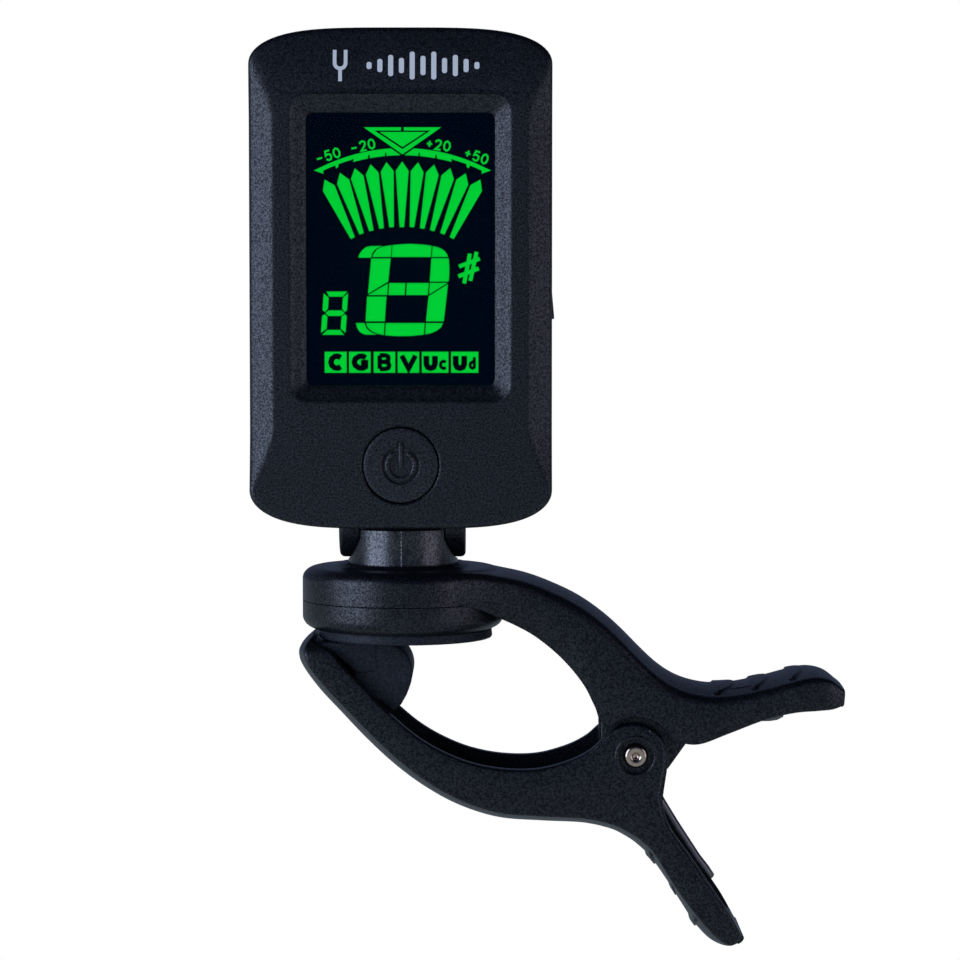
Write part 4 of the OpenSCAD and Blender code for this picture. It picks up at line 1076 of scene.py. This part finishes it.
LOWER = [
    (-9.12, 0.55, -8.74, 0.0, 4.2, 0.1, 0.15, 0), (-9.85, -0.05, -8.6, -0.2, 5.0, 0.3, 0.25, 0),
    (-10.42, -0.78, -8.0, -0.5, 5.6, 0.6, 0.35, 0), (-10.62, -1.6, -7.2, -0.9, 5.9, 0.8, 0.4, 0),
    (-10.2, -2.85, -6.05, -2.35, 6, 1.0, 0.42, 0.6), (-8.6, -5.1, -4.65, -3.75, 6, 1.1, 0.42, 1),
    (-6.3, -7.6, -2.7, -5.85, 6, 1.1, 0.42, 1), (-3.7, -10.35, -0.5, -7.85, 6, 1.1, 0.42, 1),
    (-0.9, -12.95, 1.7, -9.65, 6, 1.1, 0.42, 1), (2.2, -15.25, 4.2, -11.1, 6, 1.1, 0.42, 1),
    (5.7, -17.15, 7.0, -12.2, 6, 1.1, 0.42, 1), (9.7, -18.4, 10.2, -12.8, 6, 1.1, 0.42, 1),
    (14.0, -18.75, 13.6, -12.8, 6, 1.1, 0.42, 1), (17.6, -18.9, 16.6, -12.05, 6, 1.1, 0.42, 1),
    (19.2, -19.1, 18.75, -11.02, 6, 1.1, 0.42, 1), (20.5, -19.4, 20.16, -9.83, 6, 1.1, 0.42, 1),
    (21.6, -19.76, 21.6, -8.66, 6, 1.1, 0.42, 1), (22.7, -20.35, 23.3, -8.2, 6, 1.1, 0.42, 1),
    (23.5, -20.88, 25.0, -8.66, 6, 1.1, 0.42, 1), (24.1, -21.38, 26.2, -9.72, 6, 1.1, 0.42, 1),
    (24.6, -21.84, 26.7, -11.2, 6, 1.1, 0.42, 1), (25.1, -22.36, 26.66, -12.8, 6, 1.1, 0.42, 1),
    (25.7, -23.1, 26.32, -14.4, 6, 1.1, 0.42, 1), (26.35, -24.02, 26.22, -16.1, 6, 1.1, 0.42, 1),
    (27.5, -25.75, 26.95, -18.6, 6, 1.1, 0.42, 1), (28.65, -27.6, 29.08, -21.7, 6, 1.1, 0.42, 1),
    (29.8, -29.35, 31.22, -24.85, 6, 1.1, 0.42, 1),
    (31.2, -30.85, 32.95, -27.4, 5.9, 1.0, 0.4, 0.5),
    (32.6, -31.45, 33.95, -29.15, 5.6, 0.7, 0.35, 0),
    (33.65, -31.05, 34.4, -29.95, 5.1, 0.4, 0.3, 0),
]
# steps between neighbouring stations
UPPER_STEPS = [8] * 13 + [16] + [24] * 6
LOWER_STEPS = [8] * 13 + [10] * 7 + [14] * 3 + [28] * 6
# grip ridges: crown x (upper) or z (lower) where each starts, width, shift of its curved start
UPPER_RIDGES = [(31.55, 2.3, 0.36), (35.31, 2.1, 0.4), (39.07, 1.76, 0.3)]
LOWER_RIDGES = [(-22.05, 1.6, 0.3), (-25.29, 1.42, 0.3), (-28.66, 1.15, 0.28)]
RIDGE_REACH = 4.4
# x, z of the lower arm's upper edge, from the pin to the handle
LOWER_EDGE = [(24.9, -8.85), (25.95, -9.85), (26.38, -11.2), (26.34, -12.8), (26.0, -14.4),
              (25.9, -16.1), (26.6, -18.7), (28.75, -21.9), (30.9, -25.05), (32.5, -27.5)]


def catmull(rows, steps):
    """Smooth curve through the rows, with a step count for each gap."""
    rows = np.array(rows, float)
    last = len(rows) - 1
    out = []
    for i, count in enumerate(steps):
        before, start, end, after = rows[max(i - 1, 0)], rows[i], rows[i + 1], rows[min(i + 2, last)]
        for k in range(count):
            t = k / count
            out.append(0.5 * ((2 * start) + (end - before) * t
                              + (2 * before - 5 * start + 4 * end - after) * t * t
                              + (3 * start - before - 3 * end + after) * t ** 3))
    out.append(rows[-1])
    return out


def arc_at(rows, steps, value, axis):
    """Arc length along the crown where its x (axis 0) or z (axis 1) is nearest a value."""
    crown = np.array([row[:2] for row in catmull(rows, steps)])
    return float(arc_lengths(crown)[int(np.argmin(abs(crown[:, axis] - value)))])


def arm_section(row, wall, web, relief=None, bevel=0.0):
    """Closed U section: crowned outside with rounded edges, side walls, channel."""
    crown_x, crown_z, inner_x, inner_z, half, sag, edge, channel = row
    inner = np.array([inner_x, inner_z])
    upward = np.array([crown_x, crown_z]) - inner
    height = float(np.linalg.norm(upward))
    upward = upward / height
    edge = min(edge, height * 0.36)
    sag = min(sag, height * 0.5)
    top = height - sag
    quarters = [math.pi / 2 * k / 3 for k in range(4)]
    # lower edge of the side wall: a small round, blended into a long bevel where asked for
    low_r = min(0.3, top * 0.4)
    bevel_in, bevel_up = 0.12 + bevel * 0.45, min(0.12 + bevel, top * 0.6)
    blend = min(1.0, bevel / 0.3)
    side = []
    for k, turn in enumerate(quarters):
        y0, h0 = -half + low_r * (1 - math.sin(turn)), low_r * (1 - math.cos(turn))
        y1, h1 = -half + bevel_in * (1 - k / 3), bevel_up * k / 3
        side.append((y0 + (y1 - y0) * blend, h0 + (h1 - h0) * blend))
    low = side[-1][1]
    side.append((-half, low + max(top - edge - low, 0.0) * 0.5))
    crown_half = half - edge
    for k in range(6):
        turn = math.pi - math.pi / 2 * k / 5 * 0.92
        side.append((-crown_half + edge * math.cos(turn), top - edge + edge * math.sin(turn)))
    points = list(side)
    count = 61
    for k in range(1, count):
        y = -crown_half + 2 * crown_half * k / count
        crown = height - sag * (abs(y) / crown_half) ** 2.1
        points.append((y, crown + (relief(y) if relief else 0.0)))
    points += [(-y, h) for y, h in side[::-1]]
    # channel, open at the bottom, with a crowned roof
    wide = half - wall
    roof = max(height - web - sag * 0.75, 0.02) * max(0.0, channel)
    roof_mid = max(height - web, 0.02) * max(0.0, channel)
    corner_r = min(0.5, roof * 0.4)
    flat = wide - corner_r
    corner = [(flat + corner_r * math.cos(turn), roof - corner_r + corner_r * math.sin(turn))
              for turn in quarters]
    points += [(wide, 0.0), (wide, roof * 0.5)] + corner
    for k in range(1, 8):
        y = flat - 2 * flat * k / 8
        points.append((y, roof + (roof_mid - roof) * (1 - (abs(y) / flat) ** 2)))
    points += [(-y, h) for y, h in corner[::-1]] + [(-wide, roof * 0.5), (-wide, 0.0)]
    return [(float(inner[0] + upward[0] * h), float(y), float(inner[1] + upward[1] * h))
            for y, h in points]


def end_cap(row, neighbour, radius):
    """Five extra rows that round the end of an arm over, from the end outwards."""
    mid, next_mid = (row[:2] + row[2:4]) / 2, (neighbour[:2] + neighbour[2:4]) / 2
    outward = (mid - next_mid) / np.linalg.norm(mid - next_mid)
    half = (row[:2] - row[2:4]) / 2
    length = np.linalg.norm(half)
    extra = []
    for k in range(1, 6):
        turn = math.pi / 2 * k / 5
        margin = radius * (1 - math.cos(turn))
        reach = half / length * max(length - margin, 0.02)
        centre = mid + outward * radius * math.sin(turn)
        new = row.copy()
        new[0:2], new[2:4] = centre + reach, centre - reach
        new[4] = row[4] - margin
        new[5] = row[5] * 0.9
        extra.append(new)
    return extra


def arm_part(rows, steps, wall, web, relief, caps, bevel=lambda along: 0.0):
    """Arm solid. caps holds the end radii, relief and bevel vary with arc length."""
    dense = catmull(rows, steps)
    start_cap = end_cap(dense[0], dense[1], caps[0])[::-1]
    rings = [arm_section(row, wall, web) for row in start_cap]
    for row, along in zip(dense, arc_lengths(np.array([row[:2] for row in dense]))):
        rings.append(arm_section(row, wall, web, lambda y: relief(along, y), bevel(along)))
    rings += [arm_section(row, wall, web) for row in end_cap(dense[-1], dense[-2], caps[1])]
    return loft(rings)


def smooth01(t):
    t = max(0.0, min(1.0, t))
    return t * t * (3 - 2 * t)


def ridge_relief(ridges, height):
    """Crescent grip ridges, each (start, width, shift) along the arm.

    A ridge is widest in the middle and drawn in to a dimple at each end.
    """
    def relief(along, y):
        out = 0.0
        for start, width, shift in ridges:
            if along < start - 1 or along > start + width + 1:
                continue
            part = (y / RIDGE_REACH) ** 2
            away = (along - start - shift) ** 2 + (abs(y) - RIDGE_REACH) ** 2
            out = min(out, -0.32 * math.exp(-away / 0.07))
            if part >= 1:
                continue
            first, last = start + shift * part, start + width - (width - shift) * part
            rise = smooth01((along - first + 0.08) / 0.2) * smooth01((last + 0.08 - along) / 0.26)
            if rise > 0:
                out = max(out, height * rise * min(1.0, (1 - part) * 5))
        return out
    return relief


def flare(x):
    """Half width of the upper arm: tangent to the collar, then down to the arm's own."""
    start, length, end_half, radius = 4.5, 11.0, 6.0, COLLAR_R - 0.03
    if x < start:
        return math.sqrt(max(radius * radius - x * x, 1))
    t = min((x - start) / length, 1.0)
    start_half = math.sqrt(radius * radius - start * start)
    slope = -start / start_half * length
    return ((2 * t ** 3 - 3 * t ** 2 + 1) * start_half + (t ** 3 - 2 * t ** 2 + t) * slope
            + (-2 * t ** 3 + 3 * t ** 2) * end_half)


def collar_part():
    """Collar with a soft upper edge and a bead round the neck."""
    profile = [(5.72, 3.9), (5.72, 7.5), (5.8, 7.6), (5.95, 7.66), (6.4, 7.66), (6.6, 7.6),
               (6.72, 7.48), (6.85, 7.38), (7.1, 7.33), (8.3, 7.3)]
    for degrees in (6, 12, 24, 36, 48, 60, 72, 84, 90):
        turn = math.radians(degrees)
        profile.append((COLLAR_R - 1.6 + 1.6 * math.sin(turn), 6.1 + 1.2 * math.cos(turn)))
    profile += [(COLLAR_R, 5.0), (COLLAR_R, 3.94), (COLLAR_R - 0.03, 3.9)]
    return revolve(profile, 240)


def build_upper_arm():
    rows = [(*row[:4], flare(row[0]), *row[4:]) for row in UPPER_ROOT] + UPPER_REST
    ridges = [(arc_at(rows, UPPER_STEPS, x, 0), width, shift) for x, width, shift in UPPER_RIDGES]
    bevel_start, bevel_end = (arc_at(rows, UPPER_STEPS, x, 0) for x in (10.5, 23.0))

    def bevel(along):
        return (1.15 * smooth01((along - bevel_start) / 3.0)
                * smooth01((bevel_end - along) / 6.0))

    part = arm_part(rows, UPPER_STEPS, 1.25, 1.35, ridge_relief(ridges, 0.2), (0.01, 0.34), bevel)
    arm = new_object("upper_arm_v", part)
    # room for the lower arm's ears, with a fine edge
    room = [(0, 4.78), (3.9, 4.78), (3.9, 5.86), (4.05, 6.02), (4.05, 8), (0, 8)]
    for side in SIDES:
        boolean(arm, revolve([(r, side * h) for r, h in room], 128, PIVOT, "y"))
    # inner ears on the pivot, each with a rib outside it
    ear = [(20.15, -6.4), (20.15, PIVOT_Z)] + arc(PIVOT_X, PIVOT_Z, 3.4, 180, 318, 23)
    ear += [(26.97, -12.73), (28.73, -10.25), (29.2, -8.0), (24, -5.2)]
    rib = [(20.4, -6.2), (20.6, -7.9), (22.1, -7.35), (25, -7.3), (27.4, -8.6),
           (28.8, -9.5), (29, -7.5), (26, -5.4), (23, -4.2)]
    parts = [collar_part()]
    for side in SIDES:
        parts.append(prism(ear, *span(side, 3.3, 4.72), "y", 0.12, 0.12, 2))
        parts.append(prism(rib, *span(side, 4.4, 5.1)))
    # rib the spring's leg lies against
    leg_rib = [(31, -5.3), (31, -7.75), (36, -7.1), (38.6, -6.5), (40.2, -6.0), (40.2, -3.9)]
    merge(arm, *parts, prism(leg_rib, -3.2, -1.8, "y", 0.1, 0.1, 2))
    polish(arm, "clip_black", 34)
    register(arm, "clip_upper", "clip_black", "upper_arm")


def edge_bead(y):
    """Rounded bead along the lower arm's upper edge."""
    path = catmull(LOWER_EDGE, [10] * (len(LOWER_EDGE) - 1))
    return tube([(x, y, z) for x, z in path], 0.22, 10)


def build_lower_arm():
    ridges = [(arc_at(LOWER, LOWER_STEPS, z, 1), width, shift) for z, width, shift in LOWER_RIDGES]
    part = arm_part(LOWER, LOWER_STEPS, 1.15, 1.3, ridge_relief(ridges, 0.26), (0.12, 0.36))
    arm = new_object("lower_arm_v", part)
    # stepped hole for the pin, with a fine lip round its recess
    lip = [(1.8, 5.7), (2.14, 5.7), (2.14, 6.0), (2.08, 6.06), (1.98, 6.08), (1.88, 6.06),
           (1.8, 6.0)]
    parts = []
    for side in SIDES:
        boolean(arm, rod(1.26, *span(side, 4.0, 9.0), PIVOT, "y", 96))
        boolean(arm, rod(1.8, *span(side, 5.3, 9.0), PIVOT, "y", 96))
        parts.append(revolve([(r, side * h) for r, h in lip], 128, PIVOT, "y"))
        parts.append(edge_bead(side * 5.93))
    # seat for the jaw pad
    seat_poly = fillet([(-7.75, -4.3), (-5.85, -3.85), (-1.8, -8.3), (-3.1, -9.4)], 0.2)
    seat = new_object("seat_tmp", prism(seat_poly, -4.95, 4.95))
    socket = [(-6.55, -4.15), (-4.3, -2.3), (-0.9, -6.0), (-3.15, -8.0)]
    boolean(seat, prism(socket, -3.55, 3.55))
    absorb(arm, seat)
    # rib beside the spring's other leg
    leg_rib = [(26.6, -22.8), (26.85, -20.65), (27.9, -21.2), (31.6, -26.8), (31.6, -29.6)]
    merge(arm, *parts, prism(leg_rib, 1.8, 3.2, "y", 0.1, 0.1, 2))
    polish(arm, "clip_black", 34)
    register(arm, "clip_lower", "clip_black", "lower_arm")


# ------------------------------------------------------------------ pads
def build_pad_seat():
    profile = [(0, SEAT_Z), (8.8, SEAT_Z), (9.0, SEAT_Z + 0.05), (9.35, 1.1), (9.65, 1.26),
               (9.9, 1.45), (10.08, 1.7), (COLLAR_R - 0.03, 2.0), (COLLAR_R, 2.3),
               (COLLAR_R, 3.82), (COLLAR_R - 0.03, 3.86), (0, 3.86)]
    seat = new_object("pad_seat_v", revolve(profile, 240), "clip_black", 30)
    register(seat, "clip_upper", "clip_black", "pad_seat")


def pad_flash(turn, height):
    """Slightly uneven moulded edge near the gripping face."""
    if height > 0.2:
        return 0.0
    return 0.02 * math.sin(37 * turn) * math.sin(11 * turn + 1.3)


def build_upper_pad():
    profile = [(0, 0), (PAD_R * 0.5, 0), (PAD_R * 0.8, 0), (PAD_R - 0.22, 0),
               (PAD_R - 0.09, 0.05), (PAD_R - 0.01, 0.16), (PAD_R, 0.3),
               (PAD_R - 0.06, PAD_TOP), (0, PAD_TOP)]
    part = revolve(profile, 240, (0.25, 0, 0), "z", pad_flash)
    pad = new_object("upper_pad_v", part, "pad_rubber", 30)
    register(pad, "clip_upper", "pad_rubber", "upper_pad")


def build_lower_pad():
    """Roller-shaped pad with a tongue in its seat, a flat lip and a foot."""
    radius, half, corner = 3.06, 4.2, 0.45
    turns = [math.radians(a) for a in (0, 15, 30, 45, 60, 75, 90)]
    profile = [(0, -half)]
    profile += [(radius - corner + corner * math.sin(t), -half + corner - corner * math.cos(t))
                for t in turns]
    profile += [(radius - corner + corner * math.cos(t), half - corner + corner * math.sin(t))
                for t in turns]
    profile += [(0, half)]
    roller = revolve(profile, 160, (-2.0, 0, -3.16), "y")
    tongue = prism([(-6.45, -4.2), (-4.25, -2.35), (-1.0, -5.95), (-3.1, -7.85)],
                   -3.5, 3.5, "y", 0.1, 0.1, 2)
    lip = fillet([(-8.35, -0.5), (-7.95, -0.17), (-2.6, -0.17), (-2.6, -3.0), (-4.5, -3.3),
                  (-5.6, -2.35), (-6.95, -1.15)], [0, 0.12, 0, 0, 0, 0, 0])
    foot = [(0.98, -3.75), (0.9, -4.25), (0.72, -4.8), (0.42, -5.55), (-0.12, -6.5),
            (-0.95, -7.2), (-2.3, -6.1), (-2.0, -4.0)]
    part = join(roller, tongue, prism(lip, -4.3, 4.3, "y", 0.15, 0.15, 3),
                prism(foot, -4.15, 4.15, "y", 0.3, 0.3, 3))
    register(new_object("lower_pad_v", part, "pad_rubber", 30),
             "clip_lower", "pad_rubber", "lower_pad")


# ------------------------------------------------------------------ pivot pin and spring
# pin profile as (radius, y), with a turned, dimpled end at -Y
PIN_PROFILE = [
    (0, -5.6), (0.1, -5.6), (0.2, -5.63), (0.29, -5.7), (0.36, -5.79), (0.44, -5.87),
    (0.54, -5.925), (0.66, -5.955), (0.78, -5.96), (0.9, -5.94), (1.0, -5.89), (1.08, -5.82),
    (1.15, -5.71), (1.2, -5.55), (1.2, 5.6), (1.05, 5.75), (0, 5.75),
]
# x, z of the spring's legs, under the upper handle and along the lower one
UPPER_LEG = [(38.5, -7.5), (37.9, -7.74), (37.2, -7.84), (36.4, -7.84), (35.2, -7.9),
             (34.0, -8.02), (32.0, -8.34), (30.0, -8.68), (28.0, -8.98), (26.0, -9.23),
             (24.6, -9.38)]
LOWER_LEG = [(23.2, -13.8), (24.3, -14.55), (25.4, -15.75), (26.0, -16.6), (26.8, -17.95),
             (27.9, -19.75), (29.0, -21.45), (30.2, -23.3), (31.1, -24.45), (31.75, -25.3)]
COIL_R, COIL_HALF, COIL_TURNS, COIL_STEPS = 2.0, 2.5, 4.375, 40
WIRE_R = 0.55


def build_pin():
    pin = new_object("pivot_pin_v", revolve(PIN_PROFILE, 96, PIVOT, "y"), "pin_steel", 40)
    register(pin, "clip_upper", "pin_steel", "pivot_pin")


def build_spring():
    """One smooth tube, each leg in the plane of its end of the coil."""
    path = [(x, -COIL_HALF, z) for x, z in UPPER_LEG]
    count = int(COIL_TURNS * COIL_STEPS)
    for k in range(count + 1):
        turn = math.radians(97 + 360 * k / COIL_STEPS)
        path.append((PIVOT_X + COIL_R * math.cos(turn), -COIL_HALF + 2 * COIL_HALF * k / count,
                     PIVOT_Z + COIL_R * math.sin(turn)))
    path += [(x, COIL_HALF, z) for x, z in LOWER_LEG]

    def beyond(end, neighbour):
        return tuple(np.array(end) + (np.array(end) - np.array(neighbour)) * 0.12)

    path = [beyond(path[0], path[1])] + path + [beyond(path[-1], path[-2])]
    spring = new_object("torsion_spring_v", tube(path, WIRE_R), "spring_steel", 50)
    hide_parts("torsion_spring")
    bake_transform(spring)


def finish_cad_nodes():
    """Gives every CAD node the material of its recorded slot."""
    slots = {part["node"]: part["material_slot"] for part in frame["record"]["subparts"]}
    fallback = MATERIALS["shell_black"]
    for name, obj in NODES.items():
        set_material(obj.data, MATERIALS.get(slots.get(name, "shell_black"), fallback))


build_front_shell()
build_rear_shell()
build_door()
build_lens()
build_display()
build_emblem()
build_button()
build_post()
build_upper_arm()
build_lower_arm()
build_pad_seat()
build_upper_pad()
build_lower_pad()
build_pin()
build_spring()
finish_cad_nodes()

# ------------------------------------------------------------------ stage
scene = bpy.context.scene
FLOOR_Z, FLOOR_HALF = -58.0, 4000
FLOOR_GLOW = 0.36  # light the floor throws back on to the part


def floor_material():
    """Plain white to the camera, a dimmer blue glow to the part, clear from below."""
    tree, surface = new_material("pale_floor")
    tint = ramp(tree, noise(tree, 3.0), (0.3, (0.7, 0.85, 1.0)), (0.7, (0.74, 0.88, 1.0)))
    glow = add(tree, "Emission", {"Color": tint, "Strength": FLOOR_GLOW})
    white = add(tree, "Emission", {"Strength": 1.0})
    upper = add(tree, "MixShader", {
        "Fac": add(tree, "LightPath").outputs["Is Camera Ray"],
        1: glow.outputs["Emission"], 2: white.outputs["Emission"]})
    clear = add(tree, "BsdfTransparent")
    both = add(tree, "MixShader", {
        "Fac": add(tree, "NewGeometry").outputs["Backfacing"],
        1: upper.outputs["Shader"], 2: clear.outputs["BSDF"]})
    tree.links.new(both.outputs["Shader"], surface)


def build_floor():
    floor_material()
    mesh = bpy.data.meshes.new("floor")
    corners = [(-1, -1), (1, -1), (1, 1), (-1, 1)]
    half = FLOOR_HALF * MM
    mesh.from_pydata([(x * half, y * half, FLOOR_Z * MM) for x, y in corners], [], [(0, 1, 2, 3)])
    floor = bpy.data.objects.new("floor", mesh)
    scene.collection.objects.link(floor)
    mesh.materials.append(MATERIALS["pale_floor"])


# strengths of the room's glow: from the front, the back, below, and everywhere
FRONT_GLOW, BACK_GLOW, LOW_GLOW, BASE_GLOW = 0.14, 0.14, 0.8, 0.025


def build_world():
    """Dark room with a dim front, a paler back and a pale table below.

    The camera itself sees plain white.
    """
    world = bpy.data.worlds.new("studio")
    scene.world = world
    world.use_nodes = True
    tree = world.node_tree
    tree.nodes.clear()

    def calc(operation, first, second):
        return add(tree, "Math", {0: first, 1: second}, operation=operation).outputs[0]

    def times(first, second):
        return calc("MULTIPLY", first, second)

    def step(value, low, high):
        inputs = {"From Min": low, "From Max": high, "Value": value}
        return add(tree, "MapRange", inputs, interpolation_type="SMOOTHSTEP").outputs["Result"]

    output = add(tree, "OutputWorld")
    _, y, z = add(tree, "SeparateXYZ", {0: add(tree, "TexCoord").outputs["Generated"]}).outputs[:]
    _ = None
    front = times(step(times(y, -1.0), 0.55, 0.98), FRONT_GLOW)
    back = times(step(y, 0.0, 0.75), BACK_GLOW)
    low = times(step(times(z, -1.0), 0.15, 0.85), LOW_GLOW)
    # the upper part is darkened, though less so towards the back
    ahead = calc("SUBTRACT", 1.0, times(step(y, 0.3, 0.75), 0.8))
    top_cut = calc("SUBTRACT", 1.0, times(times(step(z, 0.1, 0.6), 0.9), ahead))
    total = calc("ADD", calc("ADD", front, back), calc("ADD", low, BASE_GLOW))
    room = add(tree, "Background", {"Color": (0.66, 0.84, 1.42, 1),
                                    "Strength": times(total, top_cut)})
    white = add(tree, "Background", {"Color": (1, 1, 1, 1), "Strength": 1.0})
    mix = add(tree, "MixShader", {
        "Fac": add(tree, "LightPath").outputs["Is Camera Ray"],
        1: room.outputs["Background"], 2: white.outputs["Background"]})
    tree.links.new(mix.outputs["Shader"], output.inputs["Surface"])


def aim(obj, location, target):
    """Places an object so that its -Z axis looks at the target."""
    obj.location = [c * MM for c in location]
    obj.rotation_mode = "QUATERNION"
    obj.rotation_quaternion = (Vector(target) - Vector(location)).to_track_quat("-Z", "Y")


def area_light(name, location, target, size, power, colour):
    light = bpy.data.lights.new(name, "AREA")
    light.shape = "RECTANGLE"
    light.size, light.size_y = size[0] * MM, size[1] * MM
    light.energy = power
    light.color = colour
    obj = bpy.data.objects.new(name, light)
    scene.collection.objects.link(obj)
    aim(obj, location, target)


def build_camera():
    data = bpy.data.cameras.new("camera")
    data.sensor_width = 36
    data.lens = 110.46
    data.clip_start, data.clip_end = 0.01, 20
    camera = bpy.data.objects.new("camera", data)
    scene.collection.objects.link(camera)
    aim(camera, location=(7.854, -300, 32.6), target=(7.854, 0, 16.014))
    scene.camera = camera


build_floor()
build_world()
area_light("left_box", location=(-262, -168, 45), target=(0, 0, 15), size=(250, 290),
           power=0.58, colour=(0.78, 0.92, 1.28))
area_light("right_box", location=(286, -150, 35), target=(5, 0, 10), size=(200, 260),
           power=0.11, colour=(1.0, 0.95, 1.28))
build_camera()
scene.view_settings.view_transform = "Standard"
scene.view_settings.look = "None"
